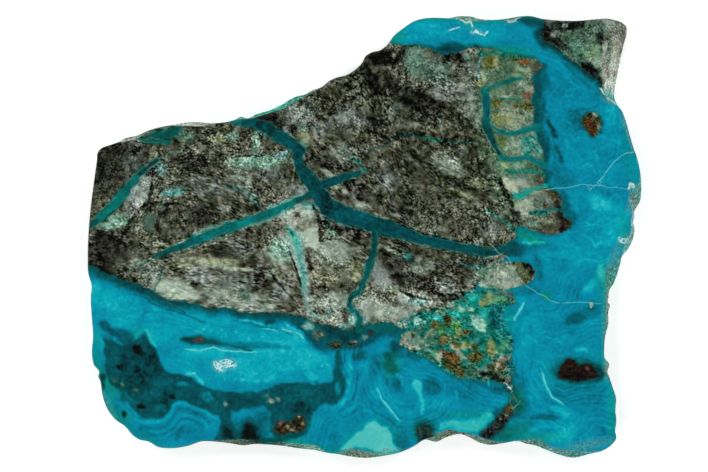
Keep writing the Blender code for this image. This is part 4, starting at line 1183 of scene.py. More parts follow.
# Veins
# Cracks in the rock filled by blue-green chrysocolla. Wide ones part the rock;
# thin ones only stain it. A row holds x, y and half width; before the rows come
# the depth of colour, 0 black to 12 white, and the share of green in it.
DEEP_VEINS = (
    (3.9, 0.55, ((228, 121, 1), (240, 122, 4), (249, 122, 4))),
    (2.3, 0.35, ((247, 122, 4), (262, 126, 4.6), (272, 130, 4.6))),
    (1.3, 0.3, ((262, 126, 4.6), (272, 132, 5), (281, 138, 5.2))),
    (2.2, 0.35, ((279, 136, 5), (286, 140, 5.4), (294, 146, 5.6), (300, 151, 5.2))),
    (1.9, 0.3, ((299, 150, 5), (298, 158, 4.2), (299, 164, 4.6), (302, 170, 5.6), (310, 180, 6.2))),
    (1.8, 0.3, ((308, 178, 6), (314, 186, 6.4), (318, 192, 7), (323, 200, 8.4))),
    (1.6, 0.2, ((321, 197, 7.6), (328, 208, 8.6), (341, 214, 8.6), (350, 217, 8.2))),
    (2.5, 0.2, ((345, 216, 8.2), (362, 220, 8), (379, 226, 7.8), (390, 229, 7.2))),
    (2.1, 0.2, ((388, 228, 7.2), (400, 232, 6.4), (412, 236, 5.4))),
    (2.7, 0.25, ((408, 235, 5.2), (420, 239, 4.8), (440, 243, 4.8), (455, 246, 4.4))),
    (2.4, 0.3, ((452, 246, 4.2), (470, 249, 4), (484, 252, 4), (497, 251, 3.4), (512, 247, 4))),
    (3.1, 0.5, ((315, 192, 2.6), (305, 197, 2.2), (298, 201, 2.4), (291, 204, 2.8))),
    (4.9, 0.65, ((293, 203, 2.2), (286, 206, 3), (276, 211, 3.4), (266, 215, 3.6))),
    (3.9, 0.55, ((268, 214, 3.4), (258, 218, 3.6), (248, 221, 3.8))),
    (5.0, 0.6, ((250, 221, 3.8), (240, 224, 4), (230, 227, 4.2))),
    (4.0, 0.55, ((232, 227, 4.2), (222, 230, 4.4), (212, 234, 4.4))),
    (4.6, 0.55, ((214, 233, 4.4), (204, 237, 4.2), (194, 241, 4))),
    (3.4, 0.4, ((196, 240, 4), (187, 244, 3.4))),
    (2.4, 0.55, ((188, 244, 3.4), (177, 248, 2.8), (166, 252, 2.2), (157, 256, 1.6))),
    (2.2, 0.7, ((91, 225, 2.4), (96, 222, 3), (103, 216, 3.2))),
    (4.7, 0.72, ((101, 217, 3), (107, 212, 4), (113, 207, 4.6), (119, 200, 4.6), (124, 194, 4.2))),
    (4.0, 0.72, ((123, 195, 4), (129, 187, 3.6), (137, 178, 3.2), (143, 171, 2.6))),
    (1.7, 0.7, ((142, 172, 2.4), (150, 166, 2), (158, 160, 1.8))),
    (1.6, 0.3, ((319, 186, 4), (326, 184, 3.8), (333, 182, 3.6))),
    (1.8, 0.3, ((331, 182, 3.6), (340, 179, 3.4), (350, 176, 3), (360, 173, 1.8))),
    (2.6, 0.6, ((375, 232, 2.4), (375, 244, 2.8), (373, 254, 3), (368, 268, 3))),
    (3.0, 0.5, ((368, 267, 2.8), (366, 277, 2.6), (362, 286, 2.4), (357, 294, 2.2))),
    (2.6, 0.7, ((357, 293, 2.2), (350, 298, 2), (349, 305, 2), (352, 310, 2))),
    (3.6, 0.5, ((351, 309, 2), (357, 313, 2.2), (360, 318, 2.6), (358, 328, 2.6))),
    (3.6, 0.7, ((481, 88, 1), (484, 92, 3), (486, 98, 3.8), (486, 103, 4))),
    (2.9, 0.4, ((486, 101, 3.6), (486, 112, 3), (486, 124, 3.8), (487, 130, 3.6))),
    (1.9, 0.5, ((487, 129, 3.4), (490, 136, 2.8), (493, 144, 2.4), (498, 152, 2), (502, 158, 2))),
    (4.3, 0.75, ((486, 89, 1.4), (495, 86, 1.7), (506, 82, 1.9), (514, 80, 2), (521, 79, 1.6))),
    (4.4, 0.6, ((492, 127, 0.8), (499, 132, 1.4), (508, 134, 1.8), (517, 133, 2.2), (528, 129, 2.4),
                (538, 128, 2))),
    (4.6, 0.6, ((501, 158, 1.6), (509, 160, 1.8), (518, 159, 1.8), (526, 157, 2), (535, 161, 2.4),
                (542, 165, 2.4))),
    (7.6, 0.9, ((514, 197, 2), (520, 197, 3), (526, 192, 2), (534, 189, 1.2), (545, 187, 1))),
    (4.0, 0.8, ((138, 139, 0.8), (148, 141, 1.4), (158, 142, 1.6), (170, 142, 1.6))),
)
STAINS = (
    ((26, 92, 74), 0.8, 0.7, ((152, 259), (145, 263), (137, 266), (130, 269))),
    ((30, 80, 66), 0.8, 0.9, ((158, 161), (166, 156), (176, 152), (186, 149))),
    ((30, 66, 58), 0.8, 0.9, ((359, 175), (366, 170), (374, 166))),
    ((36, 64, 56), 0.75, 1.5, ((366, 154), (376, 149), (386, 145), (392, 140))),
    ((14, 46, 40), 0.9, 1.9, ((390, 140), (398, 136), (406, 135), (415, 134), (422, 137))),
    ((26, 96, 74), 0.9, 2, ((421, 138), (427, 139), (434, 140), (438, 141))),
    ((20, 52, 46), 0.85, 1.5, ((437, 141), (446, 142), (455, 143), (465, 143), (473, 141))),
    ((10, 110, 92), 0.8, 1.3, ((286, 229), (291, 230), (294, 235))),
    ((60, 120, 116), 0.8, 1.2, ((481, 57), (479, 64), (478, 72), (477, 80))),
    ((8, 96, 78), 0.85, 2, ((478, 53), (482, 54), (490, 53), (499, 54), (508, 56), (520, 57), (531, 60))),
    ((20, 112, 84), 0.75, 0.9, ((495, 99), (504, 99), (512, 100), (521, 99))),
    ((60, 128, 92), 0.6, 1.5, ((500, 160), (498, 165), (501, 170))),
    ((16, 112, 94), 0.8, 2.2, ((506, 171), (516, 172), (528, 171), (540, 172), (546, 176))),
    ((14, 128, 116), 0.7, 1.4, ((524, 158), (530, 150), (529, 142), (524, 136))),
    ((18, 122, 112), 0.75, 1.4, ((530, 137), (539, 141), (534, 147), (540, 158))),
    ((60, 150, 150), 0.7, 1.2, ((513, 193), (520, 191), (528, 189))),
    ((14, 92, 84), 0.9, 1.6, ((530, 213), (540, 212), (550, 210), (560, 210))),
    ((30, 92, 82), 0.9, 0.9, ((155, 291), (157, 284), (161, 278), (162, 270))),
    ((28, 84, 82), 0.7, 1.3, ((227, 186), (235, 189), (244, 192), (252, 196), (258, 200))),
    ((60, 126, 124), 0.7, 1, ((250, 198), (255, 203), (262, 209))),
    ((40, 120, 118), 0.7, 1.3, ((165, 196), (168, 194), (174, 194), (182, 192))),
    ((50, 128, 116), 0.7, 1.9, ((352, 158), (358, 161), (362, 168), (366, 172))),
    ((26, 104, 92), 0.8, 2, ((404, 254), (411, 259), (408, 252))),
    ((40, 140, 124), 0.7, 0.8, ((392, 252), (400, 256), (408, 260))),
    ((24, 92, 86), 0.75, 1.8, ((460, 263), (468, 267), (476, 268), (484, 265))),
    ((16, 74, 66), 0.8, 2, ((466, 252), (474, 255), (485, 256), (494, 254))),
    ((26, 112, 98), 0.7, 1.7, ((486, 210), (493, 216), (500, 219), (508, 224), (514, 230))),
    ((96, 168, 160), 0.7, 0.9, ((396, 324), (404, 319), (410, 316), (414, 313))),
    ((24, 106, 100), 0.8, 0.8, ((400, 322), (408, 317), (413, 314))),
    ((26, 84, 72), 0.75, 1.9, ((342, 328), (352, 330), (362, 327), (372, 324), (384, 323), (390, 325))),
    ((10, 74, 60), 0.8, 1.3, ((393, 44), (404, 46), (414, 46), (424, 48))),
    ((96, 150, 120), 0.65, 1.1, ((411, 44), (415, 48), (419, 45), (420, 50))),
)
# Veins that fade into the rock: the third number is how sharp their edge is.
SOFT_VEINS = (
    (2.9, 0.8, 0.3, ((146, 139, 1), (152, 136, 3), (160, 135, 5), (168, 134, 6), (175, 132, 5), (180, 129, 3))),
)
# Stains that only tint the rock under its grain: colour, how soft, and the line.
SOFT_STAINS = (
    ((146, 184, 172), 3.0, ((291, 230, 4), (296, 238, 9), (298, 249, 7.4), (300, 260, 5.4), (303, 270, 5))),
    ((136, 168, 158), 2.6, ((302, 268, 5), (304, 280, 4.6), (305, 290, 3.8), (307, 300, 3.4),
                            (309, 311, 3.2))),
    ((58, 166, 150), 1.6, ((288, 229, 0.6), (292, 234, 2.4), (296, 240, 3.6), (299, 248, 2.6))),
    ((76, 158, 148), 1.6, ((298, 246, 2.6), (300, 258, 2), (303, 270, 2.2), (304, 282, 2),
                           (304, 292, 1.2))),
    ((160, 200, 186), 1.6, ((304, 207, 1), (310, 206, 1.6), (316, 208, 1.2))),
    ((120, 178, 164), 1.4, ((270, 208, 1), (286, 201, 1.6), (298, 196, 1.4))),
    ((110, 168, 154), 1.4, ((258, 225, 1), (272, 218, 1.4), (290, 210, 1.2))),
    ((104, 164, 150), 1.4, ((196, 233, 0.8), (212, 227, 1.2), (236, 219, 0.8))),
)
VEIN_FADE = 0.9
VEIN_STREAK = 9.0
VEIN_STAIN = (44, 112, 100)
VEIN_STAIN_REACH = 4.0
VEIN_STAIN_SHARE = 0.4
streaky = np.zeros(len(spot))
for colour, soft, line in SOFT_STAINS:
    cover = eased((soft - gap_to(line)) / (2 * soft))
    lay(rock_colour, cover * 0.9, np.array(colour) / 255.0)
    lay(speckle, cover, 0.06)
for level, share, line in DEEP_VEINS:
    gap = gap_to(line)
    lay(rock_colour, eased(1 - gap / VEIN_STAIN_REACH) * VEIN_STAIN_SHARE, np.array(VEIN_STAIN) / 255.0)
    rock = np.minimum(rock, gap)
    in_vein = eased((VEIN_FADE + 2 - gap) / (2 * VEIN_FADE))
    lay(depth_of_blue, in_vein, level)
    lay(greenness, in_vein, share)
    lay(streaky, in_vein, 1.0)
    for start, end in zip(line, line[1:]):
        close = gap_to((start, end)) < 1.0
        double_turn[close] = 2 * math.atan2(end[1] - start[1], end[0] - start[0])
        pull_length[close] = VEIN_STREAK
for level, share, soft, line in SOFT_VEINS:
    gap = gap_to(line)
    rock = np.minimum(rock, gap * soft)
    lay(depth_of_blue, eased((5 - gap) / 6), level)
    lay(greenness, eased((5 - gap) / 6), share)
drawn_lines += STAINS
lines_in_rock = len(drawn_lines)

# Inclusions
# Small pieces of rock and other minerals caught in the chrysocolla. Each begins
# with its outline and the colour and speckle of its ground; rows of grains
# follow: x, y, half length, half width, turn and colour.
INCLUSIONS = (
    (((583, 116), (588, 113), (595, 113), (600, 117), (601, 125), (599, 132), (594, 137), (590, 136), (586, 130), (581, 125)),
     (52, 56, 34), 0.05, (
        (589, 124, 4, 5, 0, (92, 52, 22)), (592, 132, 3, 4, 0, (76, 44, 18)), (594, 114.6, 3, 2, 0, (150, 156, 134)),
        (598, 127, 2.4, 3.4, 0, (120, 130, 104)), (600, 122, 2, 4, 0, (40, 62, 42)), (588, 116, 3, 2, 0, (34, 34, 18)),
        (593, 126, 2, 4, 0, (46, 34, 16)), (599, 133, 2, 3, 0, (96, 112, 88)))),
    (((557, 373), (560, 367), (564, 361), (568, 358), (573, 359.6), (578, 363.6), (585, 363.6), (591, 365), (595, 370),
      (598, 375), (593, 377.6), (586, 379), (579, 381.4), (572, 382), (565, 379.4), (559, 378)),
     (26, 16, 12), 0.02, (
        (586, 368, 2.4, 2.4, 0, (96, 72, 58)), (568, 364, 4, 3, 0, (36, 22, 14)), (577, 378, 9, 2, 0, (12, 16, 14)),
        (592, 373, 3, 2, 0, (56, 40, 30)), (574, 370, 5, 4, 0, (30, 18, 12)))),
    (((484, 437), (490, 438), (497, 433), (503, 427), (508, 420), (511, 415), (507, 412), (500, 413), (494, 418),
      (490, 425), (482, 431), (480, 435)),
     (26, 34, 32), 0.05, (
        (505, 415.4, 1.6, 1.4, 0, (196, 204, 176)), (500, 418, 1.4, 1.4, 0, (150, 168, 140)),
        (497, 424, 2, 3, 30, (52, 62, 48)), (488, 432, 3, 2, -40, (12, 18, 18)))),
    (((417, 425), (424, 423), (430, 425), (433, 436), (430, 442), (420, 443), (416.6, 434)), (12, 44, 46), 0.03, (
        (420.6, 432, 1.7, 6, 0, (46, 62, 50)), (427.6, 431, 1.7, 6, -10, (54, 60, 48)), (424, 428, 1.4, 3, 0, (18, 60, 58)))),
    (((502, 413), (505, 406), (511, 403), (515, 407), (511, 413)), (64, 58, 36), 0.05, ((508, 408, 2, 2, 0, (92, 74, 44)),)),
    (((274, 431), (275, 424), (280, 420), (290, 421), (296, 415), (302, 415), (306, 419), (307, 427), (300, 431),
      (290, 432), (280, 434)),
     (42, 42, 28), 0.06, (
        (281, 421.6, 3, 2, 10, (128, 66, 58)), (299, 417, 1.6, 1.4, 0, (188, 178, 142)), (303, 423, 1.4, 1.6, 0, (170, 160, 124)),
        (288, 426, 1.6, 1.4, 0, (162, 158, 128)), (294, 422, 2, 2, 0, (24, 40, 30)), (283, 430, 3, 1.4, 0, (112, 66, 46)),
        (292, 429, 2.4, 1.4, 0, (150, 140, 106)), (300, 428, 2, 1.4, 0, (98, 54, 36)), (277, 427, 1.6, 2, 0, (20, 50, 44)))),
    (((302, 326), (308, 321), (314, 324), (314, 329), (307, 330)), (112, 160, 156), 0.04, ()),
    (((312, 334), (317, 329), (324, 331), (325, 337), (319, 340), (313, 338)), (62, 92, 82), 0.06, (
        (315, 333, 1.6, 2, 0, (118, 98, 70)), (322, 334, 1.4, 2, 0, (150, 158, 130)))),
    (((328, 343), (334, 340), (342, 342), (342, 347), (335, 349), (329, 347)), (46, 46, 33), 0.05, ()),
    (((347, 342), (353, 339.6), (359, 342), (359, 345), (353, 346.6), (348, 345.6)), (50, 60, 54), 0.05, (
        (353, 340.4, 4, 1, 0, (168, 186, 168)),)),
    (((361, 338), (364, 335), (367, 337), (365, 340)), (150, 168, 150), 0.03, ()),
    (((368, 332), (371, 329), (374, 331), (373, 334), (369, 335)), (70, 26, 22), 0.03, ()),
    (((268, 401), (271, 398), (274, 400), (272, 403)), (186, 184, 160), 0.02, ()),
    (((276, 399), (278, 397), (280, 399), (278, 401)), (160, 150, 118), 0.02, ()),
    (((265, 395), (268, 394), (269, 396), (266, 397)), (120, 122, 100), 0.02, ()),
    (((223, 404), (225.4, 402), (228, 404), (225.6, 406)), (150, 168, 156), 0.02, ()),
    (((194, 340), (198, 337.6), (204, 338), (206, 340), (201, 341.6), (196, 341.6)), (92, 44, 40), 0.03, ()),
    (((508, 387), (511, 384.6), (514, 388), (511.6, 391)), (24, 30, 26), 0.04, ((510.6, 386.6, 2, 2, 0, (214, 222, 208)),)),
    (((134, 390), (136, 388.4), (138.4, 389.6), (136.6, 392)), (128, 120, 84), 0.04, ()),
    (((112, 379), (115, 378), (117, 381), (114, 382)), (60, 110, 66), 0.03, ()),
    (((121, 383), (124, 381.6), (125, 384.6), (122, 386)), (72, 120, 72), 0.03, ()),
    (((589, 303), (591.4, 301.6), (592.6, 305), (590, 308)), (196, 210, 196), 0.02, ()),
)
INCLUSION_SOFT = 0.6
HALO_REACH = 4.5
HALO_LEVEL = 3.0

for ground, colour, amount, grains in INCLUSIONS:
    inside = depth_inside(ground)
    rock = np.maximum(rock, inside * INCLUSION_SOFT)
    halo = eased(1 + inside / HALO_REACH) * 0.75
    lay(depth_of_blue, halo, HALO_LEVEL)
    lay(greenness, halo * 0.6, 0.35)
    cover = eased(inside + 2.0)
    lay(rock_colour, cover, np.array(colour) / 255.0)
    lay(speckle, cover, amount)
    for *shape, grain in grains:
        lay(rock_colour, cover * ellipse(*shape), np.array(grain) / 255.0)

# Fractures and chips
# Healed cracks run through the polished face as hairlines, and a few chips have
# broken out of it. The white in the chips and in the white curls at them is partly
# pale broken stone and partly painted highlight, the glint of the breaks. Each
# hairline has a colour, a half width and the points that it runs through.
HAIR_PALE = (176, 212, 204)
BREAK_WHITE_AND_GLINT = (224, 232, 224)
# White of the curls at the chips: partly pale broken stone, partly painted highlight.
HAIR_BLUE = (120, 206, 206)
HAIR_DARK = (3, 84, 96)
HAIRLINES = (
    (HAIR_PALE, 0.2, ((543, 190), (559, 188), (572, 187), (582, 184), (592, 186), (600, 185))),
    (HAIR_PALE, 0.2, ((600, 185), (607, 188), (615, 187), (624, 189), (634, 187))),
    (HAIR_PALE, 0.3, ((590, 190), (597, 182), (603, 176), (608, 169), (613, 162), (622, 155), (633, 152))),
    (HAIR_PALE, 0.2, ((490, 244), (498, 252), (507, 257), (513, 269), (520, 279), (525, 285))),
    (HAIR_PALE, 0.2, ((525, 285), (536, 292), (548, 299), (557, 302))),
    (HAIR_BLUE, 0.3, ((563, 303), (572, 302), (582, 302), (598, 303))),
    # the white curls at the chips and breaks: partly pale broken stone, partly painted highlight
    (BREAK_WHITE_AND_GLINT, 0.9, ((461, 21), (466, 24), (470, 22), (472, 26))),
    (BREAK_WHITE_AND_GLINT, 0.9, ((476, 32), (480, 35), (484, 36), (486, 33))),
    (BREAK_WHITE_AND_GLINT, 0.6, ((449, 31), (454, 29), (458, 28))),
    (BREAK_WHITE_AND_GLINT, 0.8, ((507, 20), (509, 23), (514, 22), (518, 18), (521, 17))),
    (BREAK_WHITE_AND_GLINT, 1, ((600, 90), (604, 95), (607, 98), (612, 101), (616, 104))),
    (BREAK_WHITE_AND_GLINT, 0.9, ((628, 188), (629, 184), (632, 184), (634, 186))),
    (BREAK_WHITE_AND_GLINT, 0.8, ((619, 238), (620, 242), (624, 243), (626, 239))),
    (BREAK_WHITE_AND_GLINT, 0.4, ((506, 384), (509, 387), (511, 389))),
    (HAIR_BLUE, 0.6, ((378, 389), (382, 398), (389, 408), (397, 417))),
    (HAIR_BLUE, 0.6, ((187, 349), (200, 350), (213, 347), (226, 351), (240, 351), (256, 352))),
    (HAIR_BLUE, 0.5, ((262, 328), (274, 329), (288, 330), (299, 333), (303, 337))),
    (HAIR_BLUE, 0.8, ((514, 318), (517, 313), (520, 309), (523, 304))),
    (HAIR_BLUE, 0.6, ((542, 374), (546, 386), (552, 397), (562, 404))),
    (HAIR_DARK, 0.5, ((150, 302), (165, 308), (180, 313), (195, 318), (205, 321))),
    (HAIR_DARK, 0.5, ((135, 294), (150, 298), (168, 305), (186, 313))),
    (HAIR_DARK, 0.6, ((206, 340), (225, 344), (240, 347), (251, 350))),
    (HAIR_DARK, 0.5, ((250, 322), (262, 327), (276, 328), (290, 334))),
    ((84, 140, 126), 0.4, ((510, 394), (510, 403), (512, 408), (515, 405), (519, 401))),
    ((110, 130, 84), 0.5, ((512, 394), (516, 398))),
    (HAIR_DARK, 0.5, ((345, 349), (344, 362), (341, 374), (342, 386))),
)
HAIR_REACH = 3.0
HAIR_STRENGTH = 0.85
HAIR_WOBBLE = 1.2
CHIPS = (
    (219.6, 365.4, 9, 7.4, 20, 0.00035), (228.6, 363.4, 11, 6.6, 10, 0.00035),
    (468, 22.5, 4, 3.5, 60, 0.0005), (476, 32.5, 7.5, 3.2, 8, 0.0004), (631.5, 186.5, 4.5, 3, 0, 0.0005),
    (622.5, 240.5, 4, 3.5, 30, 0.0005), (509, 387, 1.6, 2.6, 40, 0.0004), (511, 21, 6.5, 3, -20, 0.0006),
)

drawn_lines += [(colour, HAIR_STRENGTH, half, line) for colour, half, line in HAIRLINES]
hair_offset = np.full(len(spot), 3 * HAIR_REACH)
hair_width = np.zeros(len(spot))
hair_strength = np.zeros(len(spot))
hair_colour = np.tile(np.array(HAIR_PALE) / 255.0, (len(spot), 1))
hair_rank = np.full(len(spot), 3 * HAIR_REACH)
bent = still + HAIR_WOBBLE * np.column_stack([lumps(still_flat, 9.0, 51, 2), lumps(still_flat, 9.0, 52, 2)])
on_rock = eased(rock * 0.7 + 0.6)
for number, (colour, strength, half, line) in enumerate(drawn_lines):
    knots_of_line = np.array(line, dtype=float)
    shown = on_rock * strength if number < lines_in_rock else strength
    for start, end in zip(knots_of_line, knots_of_line[1:]):
        way = end - start
        length = math.hypot(*way)
        share = ((bent - start) @ way) / length ** 2
        over = np.maximum(np.maximum(-share, share - 1), 0) * length
        side = ((bent[:, 0] - start[0]) * way[1] - (bent[:, 1] - start[1]) * way[0]) / length
        rank = np.hypot(side, over) - half
        nearest = rank < hair_rank
        fade = eased((2 * HAIR_REACH - rank) / HAIR_REACH) * eased(1.5 - over / 2.0)
        hair_offset = np.where(nearest, side, hair_offset)
        hair_width = np.where(nearest, half * fade, hair_width)
        hair_strength = np.where(nearest, shown * fade, hair_strength)
        hair_colour[nearest] = np.array(colour) / 255.0
        hair_rank = np.where(nearest, rank, hair_rank)

chip_cover = np.zeros(len(spot))
for *shape, depth in CHIPS:
    x, y, half_length, half_width, turn = shape
    bowl = ellipse(x, y, half_length * 0.75, half_width * 0.75, turn, soft=0.6)
    on_face = np.arange(len(spot)) < (DOWN + 1) * (ACROSS + 1)
    on_face[rings[0]] = False
    points[:, 2] -= np.where(on_face, bowl * depth * 0.7, 0.0)
    chip_cover = np.maximum(chip_cover, bowl)

# Rim
# The lump's rough skin: weathered, so it is dull and paler than the polished
# stone. Rows along the edge of the face: x, y and colour; between two rows the
# colour changes evenly, and it sways down the flank. The last number is how much
# of the stone the skin hides.
RIM_COLOURS = (
    (98, 152, (96, 104, 96), 0.3), (118, 142, (120, 126, 112), 0.5), (130, 138, (170, 193, 176), 1),
    (152, 130, (90, 104, 90), 0.5), (166, 126, (100, 110, 96), 0.4), (180, 124, (177, 187, 180), 0.9),
    (200, 123, (165, 175, 163), 1), (210, 123, (96, 110, 98), 0.5), (231, 121, (60, 110, 96), 0.5),
    (243, 117, (40, 146, 126), 1), (284, 104, (30, 158, 136), 1), (315, 91, (94, 102, 90), 0.9),
    (338, 78, (31, 52, 27), 0.9), (350, 73, (60, 68, 52), 0.5), (424, 19, (20, 120, 116), 0.5),
    (449, 18, (60, 150, 144), 0.6), (460, 17, (123, 186, 176), 0.9), (470, 17, (115, 143, 121), 1),
    (500, 20, (20, 116, 104), 0.5), (512, 18, (96, 140, 124), 0.8), (530, 16, (40, 84, 70), 0.6),
    (560, 21, (92, 98, 84), 0.4), (590, 20, (96, 100, 84), 0.5), (613, 26, (140, 150, 138), 1),
    (620, 26, (97, 106, 93), 1), (625, 33, (102, 105, 89), 1), (620, 56, (180, 192, 174), 1),
    (616, 64, (157, 172, 161), 1), (612, 76, (186, 197, 183), 1), (611, 86, (170, 185, 172), 1),
    (608, 98, (64, 158, 150), 1), (616, 104, (128, 184, 180), 1), (622, 114, (30, 130, 128), 0.7),
    (636, 158, (10, 112, 116), 0.5), (641, 188, (80, 158, 149), 1), (640, 196, (78, 128, 116), 1),
    (634, 230, (139, 172, 169), 1), (618, 262, (36, 140, 132), 0.8), (612, 284, (72, 130, 109), 1), (607, 310, (115, 153, 142), 1),
    (608, 330, (40, 126, 116), 0.8), (604, 347, (14, 110, 104), 0.6), (607, 364, (109, 141, 123), 1),
    (614, 395, (16, 112, 108), 0.6), (575, 456, (48, 132, 130), 1), (552, 452, (72, 136, 128), 1), (530, 443, (86, 128, 119), 1),
    (515, 441, (40, 96, 84), 0.7), (495, 444, (88, 116, 100), 1), (465, 435, (92, 124, 104), 1),
    (450, 435, (84, 98, 78), 1), (438, 440, (102, 122, 99), 1), (408, 449, (20, 112, 108), 0.6),
    (384, 456, (72, 150, 132), 1), (366, 458, (92, 112, 92), 1), (352, 457, (84, 116, 96), 1), (338, 454, (50, 136, 118), 0.8),
    (320, 450, (110, 172, 156), 1), (262, 444, (36, 64, 54), 0.8), (232, 443, (79, 102, 85), 1),
    (213, 441, (24, 100, 92), 0.7), (140, 439, (8, 131, 121), 0.7), (97, 370, (4, 110, 108), 0.7),
    (92, 310, (4, 149, 158), 0.7), (90, 280, (20, 130, 132), 0.6), (88, 262, (56, 92, 80), 0.4),
    (95, 176, (88, 92, 80), 0.35),
)
CORNER_GRAINS = (
    (618, 38, 4, 6, 0, (160, 166, 158)),     (606, 74, 3, 4, 0, (96, 74, 50)), (612, 40, 3, 4, 0, (146, 152, 140)),
    (618, 45, 3, 4, 0, (160, 166, 140)), (610, 24, 4, 3, 0, (125, 145, 132)),
    (617, 30, 3, 4, 20, (88, 96, 80)), (622, 36, 2, 4, 0, (70, 74, 58)),
    (610, 34, 2.4, 4, 0, (104, 112, 98)), (614, 52, 3, 3, 0, (186, 194, 176)),
    (619, 62, 2, 3, 0, (112, 120, 106)), (610, 68, 3, 3, 0, (178, 190, 174)),
    (614, 72, 2, 3, 0, (120, 112, 86)), (608, 82, 3, 4, 0, (200, 208, 194)),
)
RIM_STREAK = 1.2
SWAY = 26.0
SWAY_SIZE = 0.004
SLANT = 22.0
SLANT_SIZE = 90.0
RIM_SPECKLE = 0.13
SKIN_COLOUR = (104, 146, 132)
# Where the skin reaches over the edge of the polished face: ellipses and how much.
SKIN_PATCHES = (
    (629, 208, 4, 6, 0, 0.35),     (588, 444, 26, 5, -12, 0.34), (566, 452, 20, 4, 10, 0.3),
    (634, 196, 6, 10, 0, 0.34), (607, 100, 9, 3, 45, 0.4), (626, 128, 3, 16, -25, 0.24),
    (604, 330, 3, 36, 0, 0.3), (606, 369, 4, 10, 0, 0.4), (627, 240, 4, 8, 20, 0.34),
    (612, 262, 5, 22, 20, 0.3), (390, 450, 16, 3, 0, 0.3), (352, 452, 14, 5, 0, 0.5),
    (444, 433, 14, 3, 0, 0.4), (240, 441, 20, 2, 0, 0.3), (104, 396, 3, 30, -28, 0.2),
    (262, 113, 36, 3, -14, 0.2),
)

rim_rows = np.array([(x, y, *colour, cover) for x, y, colour, cover in RIM_COLOURS], dtype=float)
row_knots = np.array([np.argmin(np.hypot(*(outline - place(row[:2])).T)) for row in rim_rows])
order = np.argsort(row_knots)
crust = np.zeros(len(points))
crust_colour = np.tile(np.array(SKIN_COLOUR) / 255.0, (len(points), 1))
matt = np.zeros(len(points))
for ring_number, numbers in enumerate(rings):
    down = ring_number / RIM_RINGS
    sway = (SWAY * lumps(points[numbers], SWAY_SIZE, 61, 3) + SLANT * lumps(still_flat[numbers], SLANT_SIZE, 62)) * down
    ring_colour = np.column_stack([
        np.interp(np.arange(columns) + sway, row_knots[order], rim_rows[order, channel], period=columns)
        for channel in range(2, 6)])
    crust[numbers] = ring_colour[:, 3]
    crust_colour[numbers] = ring_colour[:, :3] / 255.0
    matt[numbers] = 1.0
crust[rings[0]] *= 0.35 * eased(rim_width / PIXEL / 3.0)
matt[rings[0]] = 0.3
matt[len(face_points) + RIM_RINGS * columns:] = 1.0
edge_turn = np.arctan2(edge_normal[:, 0], edge_normal[:, 1])
double_turn[rings] = 2 * edge_turn
pull_length[rings[1:]] = RIM_STREAK
speckle[rings[1:]] = RIM_SPECKLE
for *shape, amount in SKIN_PATCHES:
    cover = ellipse(*shape, soft=0.6)
    crust = np.maximum(crust, cover * amount)
    matt = np.maximum(matt, cover * 0.8)
for *shape, grain in CORNER_GRAINS:
    lay(crust_colour, ellipse(*shape) * 0.8, np.array(grain) / 255.0)
matt = np.maximum(matt, chip_cover * 0.8)

# Stone
# The slab's mesh with one material: the sections above gave each point its
# mineral and colour, and the material adds grains, bands and hairlines finer
# than the mesh. Polished face, dull rough rim, sawn back. Colours are summed as
# the eye sees them and turned into light at the end, by a power of GAMMA.
GAMMA = 2.4
GAMMA_TOE = 0.055
BRIGHTNESS = 0.86
GRAIN_SIZE = 1.7
GRAIN_TAPS = 5
GRAIN_SPREAD = 0.108
COARSE_SIZE = 8.0
COARSE_SHARE = 0.7
PATCH_SIZE = 5.0
PATCH_PULL = 5.0
PATCH_CONTRAST = 8.0
PATCH_SHARE = 1.3
SPECK_SIZE = 3.0
DARK_SPECKS = 1.3
PALE_SPECKS = 1.1
BUSY_SIZE = 16.0
BUSY_LEAST = 0.35
WARP_SIZE = 11.0
WARP = 9.0
TINT_SIZE = 3.4
TINT_SHARE = 0.09
EDGE_SIZE = 2.6
EDGE_ROUGH = 2.6
EDGE_WIDTH = 1.9
BAND_SHARE = 2.2
LINE_SHARE = 3.0
SLOW_SHARE = 0.8
SWIRL_SIZE = 17.0
SWIRL_TURNS = 5.0
MURK_SIZE = 8.0
MURK = 3.6
VEIN_STREAKS = 5.0
CLOUD_SIZE = 15.0
CLOUD_SHARE = 3.4
FINE_CLOUD_SIZE = 3.6
FINE_CLOUD_SHARE = 3.0
BLUE_STOPS = (
    (0, (10, 14, 13)), (1, (0, 45, 50)), (2, (0, 66, 75)), (3, (0, 80, 92)), (4, (0, 98, 112)),
    (5, (0, 120, 144)), (6, (0, 133, 161)), (7, (0, 148, 170)), (8, (4, 165, 180)),
    (9, (32, 180, 191)), (10, (80, 195, 197)), (12, (200, 240, 236)),
)
GREEN_STOPS = (
    (0, (8, 12, 8)), (2, (4, 66, 58)), (4, (5, 100, 85)), (6, (8, 135, 115)), (8, (20, 160, 140)),
    (10, (95, 190, 165)), (12, (190, 235, 215)),
)
FULL_DEPTH = 12.0
FACE_ROUGHNESS = 0.2
RIM_ROUGHNESS = 0.75
CRUST_GRAIN = 0.16
CRUST_BUMP = 0.00016
HAIR_SOFT = 1.0
# White of the chips: partly pale broken stone, partly painted highlight.
CHIP_WHITE_AND_GLINT = (0.86, 0.92, 0.90)

slab_mesh = bpy.data.meshes.new("slab_stone")
slab_mesh.from_pydata(points.tolist(), [], face_quads.tolist() + rim_quads.tolist() + back_faces)
slab_mesh.shade_smooth()
slab_mesh.set_sharp_from_angle(angle=math.radians(38))

